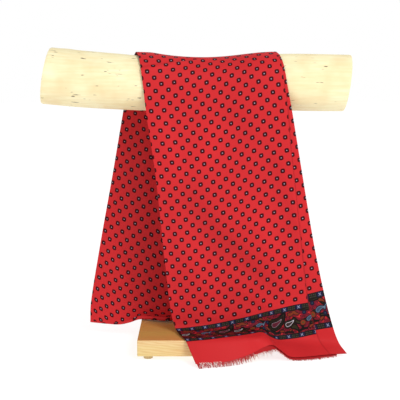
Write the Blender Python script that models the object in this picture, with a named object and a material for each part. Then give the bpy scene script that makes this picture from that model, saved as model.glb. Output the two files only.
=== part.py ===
"""A printed silk tube scarf draped over a log on a wooden display stand.

The scarf is one long flat tube of thin cloth, about 284 mm wide.  From its fringed front
hem it rises up the front, goes over the log, falls down the back, folds just above the
base board and comes up again beneath itself, to end hidden on top of the log.  Both
layers of the flat tube are made as one wall, and each stretch that shows is a piece of
its own: the front fall, the turn over the log, the back fall with its bottom fold, and
the return run that shows at the left, from the front, behind the front fall.

Sizes are in metres.  Seen from the front, X is to the right, Y to the back and Z up.
Positions are measured from the middle of the base board on the floor; at the end all
pieces move together, so that the middle of the part's underside is the origin.
"""
import math
import random

import bmesh
import bpy
from mathutils import Vector

MM = 0.001

# ---- stand -------------------------------------------------------------------------
BOARD_WIDTH = 219 * MM
BOARD_DEPTH = 216 * MM
BOARD_THICK = 30.5 * MM
BOARD_EDGE = 1.5 * MM            # worn edges of the board
FOOT_RADIUS = 8.5 * MM
FOOT_HEIGHT = 7.7 * MM
FOOT_INSET = 19 * MM             # from each side of the board to the foot's middle
POST_RADIUS = 16 * MM
SEAT_GAP = 0.3 * MM              # between pieces that rest on each other
BOARD_BOTTOM = FOOT_HEIGHT + SEAT_GAP
BOARD_TOP = BOARD_BOTTOM + BOARD_THICK

# ---- log: its middle line and radius along X -----------------------------------------
LOG_ROWS_MM = (
    # x, axis_z, radius
    (-290, 514.2, 53.6),
    (-216, 507.4, 52.9),
    (-117, 500.2, 51.0),
    (15, 495.2, 47.6),
    (126, 500.3, 51.9),
    (190, 501.0, 53.0),
    (285, 499.4, 52.2),
)
LOG_LEFT = -279.5 * MM           # sawn ends, measured on the middle line
LOG_RIGHT = 277.0 * MM
LOG_LEFT_LEAN = 0.174            # both cuts lean the same way: X gained per rise in Z
LOG_RIGHT_LEAN = 0.118
LOG_SIDES = 44
LOG_STEPS = 20
LOG_RIM = 2 * MM

# ---- cloth ---------------------------------------------------------------------------
CLOTH = 2.0 * MM                 # both layers of the flat tube
LAYER = 1.0 * MM                 # one layer, where the under layer shows by itself
INNER_LIFT = 1.45 * MM           # middle of the return run above the log
OUTER_LIFT = 3.9 * MM            # middle of the run that lies on top of it
JOINT = 0.3 * MM                 # parting between stretches
FOLD_JOINT = 0.6 * MM            # and at the fold, where the two edges are not parallel

# The outer run on the log: its edges by the turn from the front (0) over the top (90).
OUTER_TURN_ROWS = (
    # turn in degrees, left x, right x, in mm
    (0, -98, 161.6),
    (45, -104, 154),
    (90, -113, 143),
    (135, -122, 134),
    (180, -129, 127),
)
INNER_TURN_ROWS = (
    # turn in degrees, left x, right x, in mm
    (30, -99, 152),
    (90, -110, 140),
    (135, -120, 134),
    (180, -132, 130),
)
# Where the hidden end of the return run lies on the log, across the cloth.
INNER_END_ROWS = (
    # share of the width, turn in degrees
    (0, 44),
    (0.25, 65),
    (0.5, 87),
    (0.75, 98),
    (1, 104),
)

# The crease in front of that hidden end: a lip, then a shallow valley.
CREASE_START_TURN = 33           # degrees, at the left edge
CREASE_TURN_PER_SHARE = 86
CREASE_FADE = (0.46, 0.62)       # share of the width over which it dies away
LIP_HEIGHT = 1.4 * MM
LIP_BEFORE = 7                   # degrees in front of the crease
LIP_SPREAD = 6
VALLEY_DEPTH = 1.9 * MM
VALLEY_BEHIND = 2
VALLEY_SPREAD = 4.5
LOOSE_LIFT = 2.5 * MM            # slack cloth on top of the log at the left
LOOSE_X = -90 * MM
LOOSE_SPREAD_X = 35 * MM
LOOSE_SPREAD_TURN = 25

# The front fall: its edges by the share of its length below the log.
FRONT_EDGE_ROWS = (
    # share down, left x, right x, in mm
    (0.00, -98.0, 161.6),
    (0.10, -91.7, 171.5),
    (0.30, -76.1, 189.5),
    (0.58, -60.3, 215.4),
    (0.77, -48.0, 237.0),
    (0.85, -34.0, 248.0),
    (0.91, -21.5, 257.5),
    (0.95, -13.0, 265.5),
    (1.00, -2.5, 276.0),
)
FRONT_PLANE_Y = -56.5 * MM       # it hangs straight down in front of the log
FRONT_PLANE_DISH = 2.0 * MM      # and a little nearer the log's waist in the middle
FRONT_PLANE_Z = 400 * MM         # from here down
# Its foot, across the cloth: the knee above the board, the ledge where it tips over
# the board's front edge (or, beside the board, where it turns out), and the hem.
FOOT_ROWS_MM = (
    # share of the width, knee z, ledge y, ledge z, hem y, hem z
    (0.000, 44, -112, 41.8, -150, 8.0),
    (0.200, 45, -112, 42.0, -136, 8.0),
    (0.360, 46, -112, 43.0, -119, 17.0),
    (0.440, 48, -111, 43.5, -113, 27.0),
    (0.500, 48, -88, 42.0, -109, 30.0),
    (0.550, 42, -72, 33.0, -105, 19.5),
    (0.620, 37, -67, 27.0, -106, 7.0),
    (0.750, 32, -65, 21.0, -102, 6.5),
    (0.875, 29, -64, 18.0, -91, 6.5),
    (1.000, 27, -63, 16.0, -85, 6.5),
)
KNEE_ROUND = 15 * MM
LEDGE_ROUND = 9 * MM
FRONT_ACROSS = 32                # columns of the front fall
TOP_ROUND = 45 * MM

# The under layer that shows below the front hem: its reach past the hem.
UNDER_ROWS_MM = (
    # share of the width, reach
    (0.33, 0.5),
    (0.42, 5.0),
    (0.53, 6.0),
    (0.62, 3.0),
    (0.80, 3.0),
    (0.94, 0.5),
)
UNDER_ROWS_BACK = 2              # points it runs back beneath the front layer
UNDER_GAP = 0.35 * MM

# The back: edges of the return run, by the share of its height above the bottom fold.
BACK_EDGE_ROWS = (
    # share up, left x, right x, in mm
    (0.00, -212.5, 72.0),
    (0.08, -210.8, 74.0),
    (0.33, -190.6, 88.0),
    (0.60, -166.4, 106.0),
    (0.88, -142.4, 123.0),
    (1.00, -132.0, 130.0),
)
BACK_PLANE_Y = 53.8 * MM
BACK_PLANE_Z = 420 * MM
OUTER_INSET = 3 * MM             # the outer run lies this far inside the return's edges
# The bottom fold, across the cloth: where the run leaves the vertical, and where and
# at what slope (0 straight down, 90 level to the front) it reaches the fold.
FOLD_ROWS_MM = (
    # share of the width, bend z, fold y, fold z, slope in degrees
    (0.00, 110, 50, 30.0, 0),
    (0.13, 110, 44, 28.5, 8),
    (0.21, 105, 37, 30.5, 24),
    (0.28, 100, 30, 38.0, 52),
    (0.34, 100, 24, 46.5, 76),
    (0.40, 100, 20, 48.5, 86),
    (0.47, 100, 14, 48.5, 88),
    (0.54, 100, 9, 48.5, 88),
    (0.61, 100, 18, 48.5, 88),
    (0.68, 100, 28, 48.5, 88),
    (0.80, 100, 29, 48.5, 88),
    (1.00, 100, 34, 48.5, 88),
)
FOLD_PULL = 0.45                 # how far the curve keeps the fold's slope, and how far
BEND_PULL = 0.5                  # it stays upright below the bend, as shares of its size
FOLD_DEPTH = 6.5 * MM            # between the two runs, middle to middle, at the fold
FOLD_CLOSES_AT = 0.45            # share of the height where they lie together again

# ---- fringe --------------------------------------------------------------------------
STRIP_WIDTH = 1.8 * MM
STRIP_THICK = 0.9 * MM
STRAND_TIP = 0.35                # tip size as a share of the root
STRAND_LENGTHS = (0.7, 1.15)     # shortest and longest, as shares of the stated length
STRAND_LEAN = 0.10
STRAND_DROOP = 0.35
STRAND_FLOOR = 0.6 * MM          # lowest point of any strand
FRINGE_SEED = 11

SILK = ("printed_silk", (0.70, 0.035, 0.03), 0.5)
SILK_BACK = ("printed_silk_shade", (0.50, 0.02, 0.018), 0.5)
PEELED_WOOD = ("peeled_log", (0.82, 0.68, 0.48), 0.6)
PINE = ("pine", (0.80, 0.58, 0.30), 0.55)
FELT = ("felt", (0.55, 0.42, 0.27), 0.9)


# ---- helpers -------------------------------------------------------------------------
def smooth_row(rows, at):
    """The values of a table at one place: a smooth curve through its rows."""
    if at <= rows[0][0]:
        return rows[0][1:]
    if at >= rows[-1][0]:
        return rows[-1][1:]
    spot = max(i for i in range(len(rows) - 1) if rows[i][0] <= at)
    before, after = rows[spot], rows[spot + 1]
    span = after[0] - before[0]
    t = (at - before[0]) / span

    def slope(i, column):
        low, high = max(i - 1, 0), min(i + 1, len(rows) - 1)
        return (rows[high][column] - rows[low][column]) / (rows[high][0] - rows[low][0])

    values = []
    for column in range(1, len(rows[0])):
        start, end = before[column], after[column]
        pull = slope(spot, column) * span
        push = slope(spot + 1, column) * span
        values.append((2 * t**3 - 3 * t**2 + 1) * start + (t**3 - 2 * t**2 + t) * pull
                      + (3 * t**2 - 2 * t**3) * end + (t**3 - t**2) * push)
    return values


def ease(low, high, at):
    """0 below low, 1 above high and a smooth step between."""
    t = min(max((at - low) / (high - low), 0), 1)
    return t * t * (3 - 2 * t)


def bell(distance, spread):
    return math.exp(-(distance / spread) ** 2)


def mix(start, end, t):
    return start + (end - start) * t


def log_at(x):
    """Height of the log's middle line and its radius at x."""
    axis_z, radius = smooth_row(LOG_ROWS_MM, x / MM)
    return axis_z * MM, radius * MM


def material(look):
    name, colour, roughness = look
    if name in bpy.data.materials:
        return bpy.data.materials[name]
    made = bpy.data.materials.new(name)
    made.use_nodes = True
    shader = made.node_tree.nodes["Principled BSDF"]
    shader.inputs["Base Color"].default_value = (*colour, 1)
    shader.inputs["Roughness"].default_value = roughness
    shader.inputs["Metallic"].default_value = 0
    return made


def add_object(name, mesh, look, parent):
    made = bpy.data.objects.new(name, mesh)
    bpy.context.collection.objects.link(made)
    mesh.materials.append(material(look))
    made.parent = parent
    return made


def add_bevel(made, width, segments=2):
    bevel = made.modifiers.new("worn edge", "BEVEL")
    bevel.width = width
    bevel.segments = segments
    bevel.limit_method = "ANGLE"


def sheet(name, rows, thick, look, parent):
    """A wall of cloth: the surface through rows of points, made thick on both sides."""
    across = len(rows[0])
    points = [point for row in rows for point in row]
    faces = []
    for i in range(len(rows) - 1):
        for j in range(across - 1):
            corner = i * across + j
            faces.append((corner, corner + 1, corner + across + 1, corner + across))
    mesh = bpy.data.meshes.new(name)
    mesh.from_pydata(points, [], faces)
    mesh.shade_smooth()
    made = add_object(name, mesh, look, parent)
    wall = made.modifiers.new("cloth wall", "SOLIDIFY")
    wall.thickness = thick
    wall.offset = 0
    wall.use_even_offset = False
    wall.use_quality_normals = True
    return made


def shares(count):
    return [i / count for i in range(count + 1)]


# ---- stand ---------------------------------------------------------------------------
def build_stand(parent):
    bm = bmesh.new()
    bmesh.ops.create_cube(bm, size=1)
    bmesh.ops.scale(bm, vec=(BOARD_WIDTH, BOARD_DEPTH, BOARD_THICK), verts=bm.verts)
    mesh = bpy.data.meshes.new("base_board")
    bm.to_mesh(mesh)
    bm.free()
    board = add_object("base_board", mesh, PINE, parent)
    board.location.z = BOARD_BOTTOM + BOARD_THICK / 2
    add_bevel(board, BOARD_EDGE)

    foot_x = BOARD_WIDTH / 2 - FOOT_INSET
    foot_y = BOARD_DEPTH / 2 - FOOT_INSET
    corners = ((-foot_x, -foot_y), (foot_x, -foot_y), (foot_x, foot_y), (-foot_x, foot_y))
    for number, (x, y) in enumerate(corners, 1):
        foot = turned_piece(f"foot_{number}", FOOT_RADIUS, 0, FOOT_HEIGHT, 24, FELT, parent)
        foot.location.x, foot.location.y = x, y

    axis_z, radius = log_at(0)
    turned_piece("post", POST_RADIUS, BOARD_TOP + SEAT_GAP, axis_z - radius - SEAT_GAP, 32,
                 PINE, parent)


def turned_piece(name, radius, bottom, top, sides, look, parent):
    bm = bmesh.new()
    bmesh.ops.create_cone(bm, cap_ends=True, segments=sides, radius1=radius, radius2=radius,
                          depth=top - bottom)
    mesh = bpy.data.meshes.new(name)
    bm.to_mesh(mesh)
    bm.free()
    mesh.shade_smooth()
    mesh.set_sharp_from_angle(angle=math.radians(40))
    made = add_object(name, mesh, look, parent)
    made.location.z = (bottom + top) / 2
    return made


def build_log(parent):
    """Rings along the log, sheared towards its two leaning saw cuts."""
    points = []
    for step in shares(LOG_STEPS):
        middle_x = mix(LOG_LEFT, LOG_RIGHT, step)
        lean = mix(LOG_LEFT_LEAN, LOG_RIGHT_LEAN, step)
        for side in range(LOG_SIDES):
            angle = 2 * math.pi * side / LOG_SIDES
            x = middle_x + lean * log_at(middle_x)[1] * math.sin(angle)
            axis_z, radius = log_at(x)
            points.append((x, radius * math.cos(angle), axis_z + radius * math.sin(angle)))
    faces = []
    for step in range(LOG_STEPS):
        for side in range(LOG_SIDES):
            here = step * LOG_SIDES + side
            beside = step * LOG_SIDES + (side + 1) % LOG_SIDES
            faces.append((here, here + LOG_SIDES, beside + LOG_SIDES, beside))
    last = LOG_STEPS * LOG_SIDES
    faces.append(tuple(range(LOG_SIDES)))
    faces.append(tuple(last + side for side in reversed(range(LOG_SIDES))))
    mesh = bpy.data.meshes.new("log")
    mesh.from_pydata(points, [], faces)
    bm = bmesh.new()
    bm.from_mesh(mesh)
    bmesh.ops.recalc_face_normals(bm, faces=bm.faces)
    bm.to_mesh(mesh)
    bm.free()
    mesh.shade_smooth()
    mesh.set_sharp_from_angle(angle=math.radians(40))
    log = add_object("log", mesh, PEELED_WOOD, parent)
    add_bevel(log, LOG_RIM, segments=1)


# ---- cloth on the log ----------------------------------------------------------------
def log_skin(x, turn_deg, lift):
    """A point at one turn round the log, lifted off its surface."""
    axis_z, radius = log_at(x)
    turn = math.radians(turn_deg)
    reach = radius + lift
    return Vector((x, -reach * math.cos(turn), axis_z + reach * math.sin(turn)))


def turn_x(rows, share, turn_deg):
    left_x, right_x = smooth_row(rows, turn_deg)
    return mix(left_x, right_x, share) * MM


def crease_lift(share, turn_deg):
    """Rise and fall of the outer run along the crease, above OUTER_LIFT."""
    crease = CREASE_START_TURN + CREASE_TURN_PER_SHARE * share
    strength = 1 - ease(*CREASE_FADE, share)
    lip = LIP_HEIGHT * bell(turn_deg - crease + LIP_BEFORE, LIP_SPREAD)
    valley = VALLEY_DEPTH * bell(turn_deg - crease - VALLEY_BEHIND, VALLEY_SPREAD)
    return strength * (lip - valley)


def outer_on_log(share, turn_deg):
    x = turn_x(OUTER_TURN_ROWS, share, turn_deg)
    slack = LOOSE_LIFT * bell(x - LOOSE_X, LOOSE_SPREAD_X)
    slack *= bell(turn_deg - 90, LOOSE_SPREAD_TURN)
    return log_skin(x, turn_deg, OUTER_LIFT + crease_lift(share, turn_deg) + slack)


def inner_on_log(share, turn_deg):
    x = turn_x(INNER_TURN_ROWS, share, turn_deg)
    return log_skin(x, turn_deg, INNER_LIFT)


def build_turn_over_log(parent, across=16, around=26):
    rows = [[outer_on_log(share, 180 * step) for share in shares(across)]
            for step in shares(around)]
    sheet("scarf_over_log", rows, CLOTH, SILK, parent)


# ---- rounded paths in the Y, Z plane ---------------------------------------------------
def rounded_path(corners, rounds, curve_steps, straight_steps):
    """Points (y, z) along a bent line; each inner corner is rounded by a short curve."""
    corners = [Vector(corner) for corner in corners]
    path = []
    start = corners[0]
    for i in range(1, len(corners) - 1):
        before, corner, after = corners[i - 1], corners[i], corners[i + 1]
        into, out = corner - before, after - corner
        into_share = 0.5 if i > 1 else 0.9
        out_share = 0.5 if i < len(corners) - 2 else 0.8
        enter = corner - into.normalized() * min(rounds[i - 1], into.length * into_share)
        leave = corner + out.normalized() * min(rounds[i - 1], out.length * out_share)
        path += [start.lerp(enter, t) for t in shares(straight_steps[i - 1])[:-1]]
        for t in shares(curve_steps)[:-1]:
            path.append(enter.lerp(corner, t).lerp(corner.lerp(leave, t), t))
        start = leave
    path += [start.lerp(corners[-1], t) for t in shares(straight_steps[-1])]
    return path


def length_shares(path):
    """The share of the path's length at each of its points."""
    lengths = [0.0]
    for here, there in zip(path, path[1:]):
        lengths.append(lengths[-1] + (there - here).length)
    return [length / lengths[-1] for length in lengths]


def with_x(path, edge_rows, share):
    """The column of points: the path's y and z, and x between the cloth's two edges."""
    column = []
    for point, along in zip(path, length_shares(path)):
        left_x, right_x = smooth_row(edge_rows, along)
        column.append(Vector((mix(left_x, right_x, share) * MM, *point)))
    return column


def to_rows(columns):
    return [list(row) for row in zip(*columns)]


# ---- front fall ------------------------------------------------------------------------
def front_column(share):
    """One warp line of the front fall, from the log down to the hem."""
    knee_z, ledge_y, ledge_z, hem_y, hem_z = (v * MM for v in smooth_row(FOOT_ROWS_MM, share))
    top = outer_on_log(share, 0)
    plane_y = FRONT_PLANE_Y + FRONT_PLANE_DISH * math.sin(math.pi * share)
    corners = ((top.y, top.z - JOINT), (plane_y, FRONT_PLANE_Z), (plane_y, knee_z),
               (ledge_y, ledge_z), (hem_y, hem_z))
    path = rounded_path(corners, (TOP_ROUND, KNEE_ROUND, LEDGE_ROUND), curve_steps=5,
                        straight_steps=(2, 6, 2, 2))
    return with_x(path, FRONT_EDGE_ROWS, share)


def front_columns():
    return [front_column(share) for share in shares(FRONT_ACROSS)]


def outward(columns, i, j):
    """Square to the cloth at one point of its columns, out of the front."""
    across = columns[min(i + 1, len(columns) - 1)][j] - columns[max(i - 1, 0)][j]
    along = columns[i][j] - columns[i][j - 1]
    return across.cross(along).normalized() * -1


def build_front_fall(parent):
    sheet("scarf_front_fall", to_rows(front_columns()), CLOTH, SILK, parent)


def hem_frames():
    """At each column's foot: the hem, the way on past it and the way out of the front."""
    columns = front_columns()
    return [(column[-1], (column[-1] - column[-2]).normalized(), outward(columns, i, -1))
            for i, column in enumerate(columns)]


def under_frames():
    """The same at the edge of the under layer, beneath the front layer's hem."""
    drop = (CLOTH + LAYER) / 2 + UNDER_GAP
    frames = []
    for share, (hem, onward, out) in zip(shares(FRONT_ACROSS), hem_frames()):
        reach = smooth_row(UNDER_ROWS_MM, share)[0] * MM
        frames.append((hem - out * drop + onward * reach, onward, out))
    return frames


def frame_at(frames, share):
    """Between two columns the edge runs straight, as the wall's own edge does."""
    place = share * FRONT_ACROSS
    i = min(int(place), FRONT_ACROSS - 1)
    hem, onward, out = (here.lerp(there, place - i)
                        for here, there in zip(frames[i], frames[i + 1]))
    return hem, onward.normalized(), out.normalized()


def build_under_hem(parent):
    """The under layer made from the front layer's points, moved out behind it."""
    columns = front_columns()
    frames = under_frames()
    drop = (CLOTH + LAYER) / 2 + UNDER_GAP
    first, last = UNDER_ROWS_MM[0][0], UNDER_ROWS_MM[-1][0]
    under = []
    for i, share in enumerate(shares(FRONT_ACROSS)):
        if first <= share <= last:
            beneath = [columns[i][j] - outward(columns, i, j) * drop
                       for j in range(-UNDER_ROWS_BACK, 0)]
            under.append(beneath + [frames[i][0]])
    sheet("scarf_under_hem", to_rows(under), LAYER, SILK_BACK, parent)


# ---- back fall, bottom fold and return run ---------------------------------------------
def inner_path(share):
    """One warp line of the return run as (y, z), from the fold up to the log's back."""
    bend_z, fold_y, fold_z, slope_deg = smooth_row(FOLD_ROWS_MM, share)
    slope = math.radians(slope_deg)
    fold = Vector((fold_y * MM, fold_z * MM))
    bend = Vector((BACK_PLANE_Y, bend_z * MM))
    rise = (bend - fold).length
    from_fold = fold + Vector((math.sin(slope), math.cos(slope))) * rise * FOLD_PULL
    from_bend = bend - Vector((0, rise * BEND_PULL))
    path = []
    for t in shares(10):
        low = fold.lerp(from_fold, t).lerp(from_fold.lerp(from_bend, t), t)
        high = from_fold.lerp(from_bend, t).lerp(from_bend.lerp(bend, t), t)
        path.append(low.lerp(high, t))
    top = inner_on_log(share, 180)
    plane = Vector((BACK_PLANE_Y, BACK_PLANE_Z))
    path += [bend.lerp(plane, t) for t in shares(4)[1:]]
    path += [plane.lerp(Vector((top.y, top.z)), t) for t in shares(2)[1:]]
    return path


def back_normal(path, i):
    """Away from the front, square to the path, which runs upwards."""
    along = path[min(i + 1, len(path) - 1)] - path[max(i - 1, 0)]
    return Vector((along.y, -along.x)).normalized()


def runs_apart(along):
    """Distance between the two runs, from the fold up to the log."""
    together = OUTER_LIFT - INNER_LIFT
    return mix(FOLD_DEPTH, together, ease(0, FOLD_CLOSES_AT, along))


def build_return(parent, across=18, around=15):
    columns = []
    for share in shares(across):
        column = with_x(inner_path(share), BACK_EDGE_ROWS, share)
        start = (column[1] - column[0]).normalized() * FOLD_JOINT
        column[0] = column[0] + start
        end_turn = smooth_row(INNER_END_ROWS, share)[0]
        column += [inner_on_log(share, mix(180, end_turn, t)) for t in shares(around)[1:]]
        columns.append(column)
    sheet("scarf_return", to_rows(columns), CLOTH, SILK_BACK, parent)


def build_back_fall(parent, across=18, loop_steps=9):
    columns = []
    for share in shares(across):
        path = inner_path(share)
        along = length_shares(path)
        inner = with_x(path, BACK_EDGE_ROWS, share)
        column = []
        for i in reversed(range(len(path))):
            out = back_normal(path, i)
            point = inner[i] + runs_apart(along[i]) * Vector((0, *out))
            point.x += OUTER_INSET * (1 - 2 * share) * ease(0, 0.15, along[i])
            column.append(point)
        column[0] = outer_on_log(share, 180) - Vector((0, 0, JOINT))
        out = Vector((0, *back_normal(path, 0)))
        up = (inner[1] - inner[0]).normalized()
        middle = inner[0] + out * FOLD_DEPTH / 2
        for t in shares(loop_steps)[1:]:
            angle = math.pi * t
            column.append(middle + FOLD_DEPTH / 2 * (out * math.cos(angle)
                                                     - up * math.sin(angle)))
        columns.append(column)
    sheet("scarf_back_fall", to_rows(columns), CLOTH, SILK_BACK, parent)


# ---- fringe ----------------------------------------------------------------------------
def build_fringe(name, frames, first, last, strands, length, look, parent):
    """A narrow strip along an edge, with tapered strands drawn out of every other cell."""
    dice = random.Random(FRINGE_SEED)
    cells = 2 * strands + 1
    bm = bmesh.new()
    rings, stations = [], []
    for j in range(cells + 1):
        hem, onward, out = frame_at(frames, mix(first, last, j / cells))
        stations.append((onward, out))
        back, front = hem + onward * JOINT, hem + onward * (JOINT + STRIP_WIDTH)
        half = out * STRIP_THICK / 2
        rings.append([bm.verts.new(p) for p in (back + half, front + half,
                                                front - half, back - half)])
    for j in range(cells):
        here, there = rings[j], rings[j + 1]
        for side in (0, 2, 3):
            after = (side + 1) % 4
            bm.faces.new((here[side], here[after], there[after], there[side]))
        mouth = (here[1], here[2], there[2], there[1])
        if j % 2 == 0:
            bm.faces.new(mouth)
        else:
            draw_strand(bm, mouth, *stations[j], length, dice)
    bm.faces.new(rings[0])
    bm.faces.new(reversed(rings[-1]))
    bmesh.ops.recalc_face_normals(bm, faces=bm.faces)
    mesh = bpy.data.meshes.new(name)
    bm.to_mesh(mesh)
    bm.free()
    add_object(name, mesh, look, parent)


def draw_strand(bm, mouth, onward, out, length, dice):
    """Two tapering lengths out of the strip's mouth, drooping towards the floor."""
    across = onward.cross(out)
    root = sum((vert.co for vert in mouth), Vector()) / 4
    reach = length * dice.uniform(*STRAND_LENGTHS)
    lean = across * dice.uniform(-STRAND_LEAN, STRAND_LEAN)
    bend = root + (onward + lean) * reach * 0.5
    tip = bend + (onward + lean + Vector((0, 0, -STRAND_DROOP))).normalized() * reach * 0.5
    ring = list(mouth)
    for centre, size in ((bend, mix(1, STRAND_TIP, 0.5)), (tip, STRAND_TIP)):
        centre.z = max(centre.z, STRAND_FLOOR + STRIP_THICK / 2 * size)
        after = [bm.verts.new(centre + (vert.co - root) * size) for vert in mouth]
        for side in range(4):
            other = (side + 1) % 4
            bm.faces.new((ring[side], ring[other], after[other], after[side]))
        ring = after
    bm.faces.new(ring)


# ---- the whole part ----------------------------------------------------------------------
def centre_on_origin(frame):
    """Move everything so that the middle of the underside is the origin."""
    bpy.context.view_layer.update()
    graph = bpy.context.evaluated_depsgraph_get()
    low, high = Vector((9, 9, 9)), Vector((-9, -9, -9))
    for made in frame.children:
        shape = made.evaluated_get(graph)
        for vertex in shape.data.vertices:
            place = shape.matrix_world @ vertex.co
            low = Vector(map(min, low, place))
            high = Vector(map(max, high, place))
    frame.location = (-(low.x + high.x) / 2, -(low.y + high.y) / 2, -low.z)
    bpy.context.view_layer.update()


def main():
    for old in list(bpy.data.objects):
        bpy.data.objects.remove(old, do_unlink=True)
    frame = bpy.data.objects.new("scarf_on_stand", None)
    bpy.context.collection.objects.link(frame)
    build_stand(frame)
    build_log(frame)
    build_turn_over_log(frame)
    build_front_fall(frame)
    build_under_hem(frame)
    build_back_fall(frame)
    build_return(frame)
    build_fringe("fringe_front", hem_frames(), 0.004, 0.36, 62, 9 * MM, SILK, frame)
    build_fringe("fringe_under", under_frames(), 0.375, 0.93, 68, 6 * MM, SILK_BACK, frame)
    centre_on_origin(frame)


main()
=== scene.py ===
# %% [markdown]
# A printed silk scarf hangs over a peeled log on a wooden display stand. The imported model
# gives every size and place. This script dresses it: fine cloth with its print, sheen and
# fringe, the log's peeled wood with its sawn ends, and a finish for the board, the post
# and the feet. It could all be painted on the plain solids, but cloth needs a thin edge
# and soft creases, so each stretch of the scarf is worked out again as a finer surface.

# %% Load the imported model
import math
from functools import partial

import bpy
import numpy as np
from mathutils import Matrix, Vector


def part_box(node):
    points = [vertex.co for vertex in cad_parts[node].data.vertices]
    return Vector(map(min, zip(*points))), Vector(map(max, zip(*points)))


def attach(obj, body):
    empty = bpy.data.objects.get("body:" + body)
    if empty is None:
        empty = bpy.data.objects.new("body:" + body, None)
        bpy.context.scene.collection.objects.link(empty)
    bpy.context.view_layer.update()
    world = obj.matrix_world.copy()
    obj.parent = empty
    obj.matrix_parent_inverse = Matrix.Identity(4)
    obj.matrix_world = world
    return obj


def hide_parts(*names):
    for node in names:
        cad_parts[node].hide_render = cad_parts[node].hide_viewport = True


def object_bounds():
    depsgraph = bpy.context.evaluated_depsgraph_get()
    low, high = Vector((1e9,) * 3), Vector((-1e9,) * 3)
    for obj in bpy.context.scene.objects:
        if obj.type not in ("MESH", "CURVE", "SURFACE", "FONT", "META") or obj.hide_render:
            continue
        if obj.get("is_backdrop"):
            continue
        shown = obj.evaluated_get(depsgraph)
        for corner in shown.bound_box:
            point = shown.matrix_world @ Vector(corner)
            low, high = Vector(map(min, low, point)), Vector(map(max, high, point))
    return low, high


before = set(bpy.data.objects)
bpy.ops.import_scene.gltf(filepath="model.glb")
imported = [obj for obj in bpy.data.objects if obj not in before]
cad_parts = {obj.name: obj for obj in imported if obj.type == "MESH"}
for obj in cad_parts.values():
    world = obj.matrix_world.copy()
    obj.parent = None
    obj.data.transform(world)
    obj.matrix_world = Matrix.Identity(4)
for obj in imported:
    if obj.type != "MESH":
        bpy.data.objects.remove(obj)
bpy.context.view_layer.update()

# %% [markdown]
# Lengths below are in millimetres, and one factor turns them into Blender's metres. They
# are measured from the middle of the base board on the floor, so one shift brings all of
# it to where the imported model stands.

# %% Units and the model's place
MM = 0.001
board_low, board_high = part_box("base_board")
BOARD_MIDDLE = np.array([(board_low.x + board_high.x) / 2, (board_low.y + board_high.y) / 2, 0.0])
print("board's middle in mm:", (BOARD_MIDDLE / MM).round(2))

# %% [markdown]
# Colours are written the way a paint chart gives them, as sRGB hex values. The render
# works with light, so one function turns them into linear values. Another adds one node
# with its settings and links, so that a material reads as a short list of steps. Such a
# list, a recipe, ends by saying what each input of the shader gets.

# %% Colours and nodes
def colour(hex_code):
    """Linear red, green and blue of an sRGB colour: the sRGB curve undone per channel."""
    srgb = np.array([int(hex_code[i:i + 2], 16) for i in (1, 3, 5)]) / 255
    linear = np.where(srgb <= 0.04045, srgb / 12.92, ((srgb + 0.055) / 1.055) ** 2.4)
    return (*linear, 1.0)


def plug(socket, value):
    """Link an output to an input, or set the input to a number, a vector or a hex colour."""
    if isinstance(value, bpy.types.NodeSocket):
        socket.id_data.links.new(value, socket)
    else:
        socket.default_value = colour(value) if isinstance(value, str) else value


def add_node(tree, kind, *values, out=0, ramp=(), **settings):
    """Add a node and give one of its outputs. The kind is Blender's name without
    ShaderNode, then its operation if it has one. Values go to its inputs in order, and
    settings to the inputs they name or, in small letters, to its properties."""
    kind, *operation = kind.split()
    node = tree.nodes.new("ShaderNode" + kind)
    if operation:
        setattr(node, "blend_type" if kind == "MixRGB" else "operation", operation[0])
    for stop, (position, hex_code) in zip(node.color_ramp.elements if ramp else (), ramp):
        stop.position, stop.color = position, colour(hex_code)
    for number, value in enumerate(values):
        plug(node.inputs[number], value)
    for name, value in settings.items():
        if name.islower():
            setattr(node, name, value)
        else:
            plug(node.inputs[name.replace("_", " ")], value)
    return node.outputs[out]


def make_material(name, recipe, **choices):
    """A material from a recipe, which gets add_node and says what each shader input gets."""
    made = bpy.data.materials.new(name)
    made.use_nodes = True
    shader = made.node_tree.nodes["Principled BSDF"]
    for key, value in recipe(partial(add_node, made.node_tree), **choices).items():
        plug(shader.inputs[key.replace("_", " ")], value)
    print(f"{name}: {len(made.node_tree.nodes)} nodes")
    return made


def per(size):
    """Scale of a noise texture whose grains are that many millimetres across: 1 / size."""
    return 1 / (size * MM)


def wave_scale(spacing):
    """Scale of a wave texture with diagonal bands that far apart: 2 pi / (10 x spacing)."""
    return 2 * math.pi / (10 * spacing * MM)


# %% [markdown]
# Every curve of the scarf and the log follows a short table, a row for each place where
# something was measured. A smooth curve goes through the rows. Straight lines between
# them would show as kinks in the cloth, so cubic pieces with matching slopes are used.

# %% Smooth tables
def smooth_table(rows, at):
    """Columns of a table at many places: between two rows each value is the cubic that
    leaves and arrives with the slope between the neighbouring rows; outside it is flat."""
    rows = np.asarray(rows, float)
    keys, values = rows[:, 0], rows[:, 1:]
    order = np.arange(len(keys))
    low, high = np.maximum(order - 1, 0), np.minimum(order + 1, len(keys) - 1)
    slopes = (values[high] - values[low]) / (keys[high] - keys[low])[:, None]
    at = np.clip(np.asarray(at, float), keys[0], keys[-1])
    spot = np.clip(np.searchsorted(keys, at, side="right") - 1, 0, len(keys) - 2)
    span = (keys[spot + 1] - keys[spot])[..., None]
    t = (at - keys[spot])[..., None] / span
    made = ((2 * t**3 - 3 * t**2 + 1) * values[spot]
            + (t**3 - 2 * t**2 + t) * slopes[spot] * span
            + (3 * t**2 - 2 * t**3) * values[spot + 1]
            + (t**3 - t**2) * slopes[spot + 1] * span)
    return np.moveaxis(made, -1, 0)


def mix(start, end, t):
    return start + (end - start) * t


def ease(low, high, at):
    """0 at low and before, 1 at high and beyond, and 3t^2 - 2t^3 between."""
    t = np.clip((at - low) / (high - low), 0, 1)
    return t * t * (3 - 2 * t)


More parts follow.
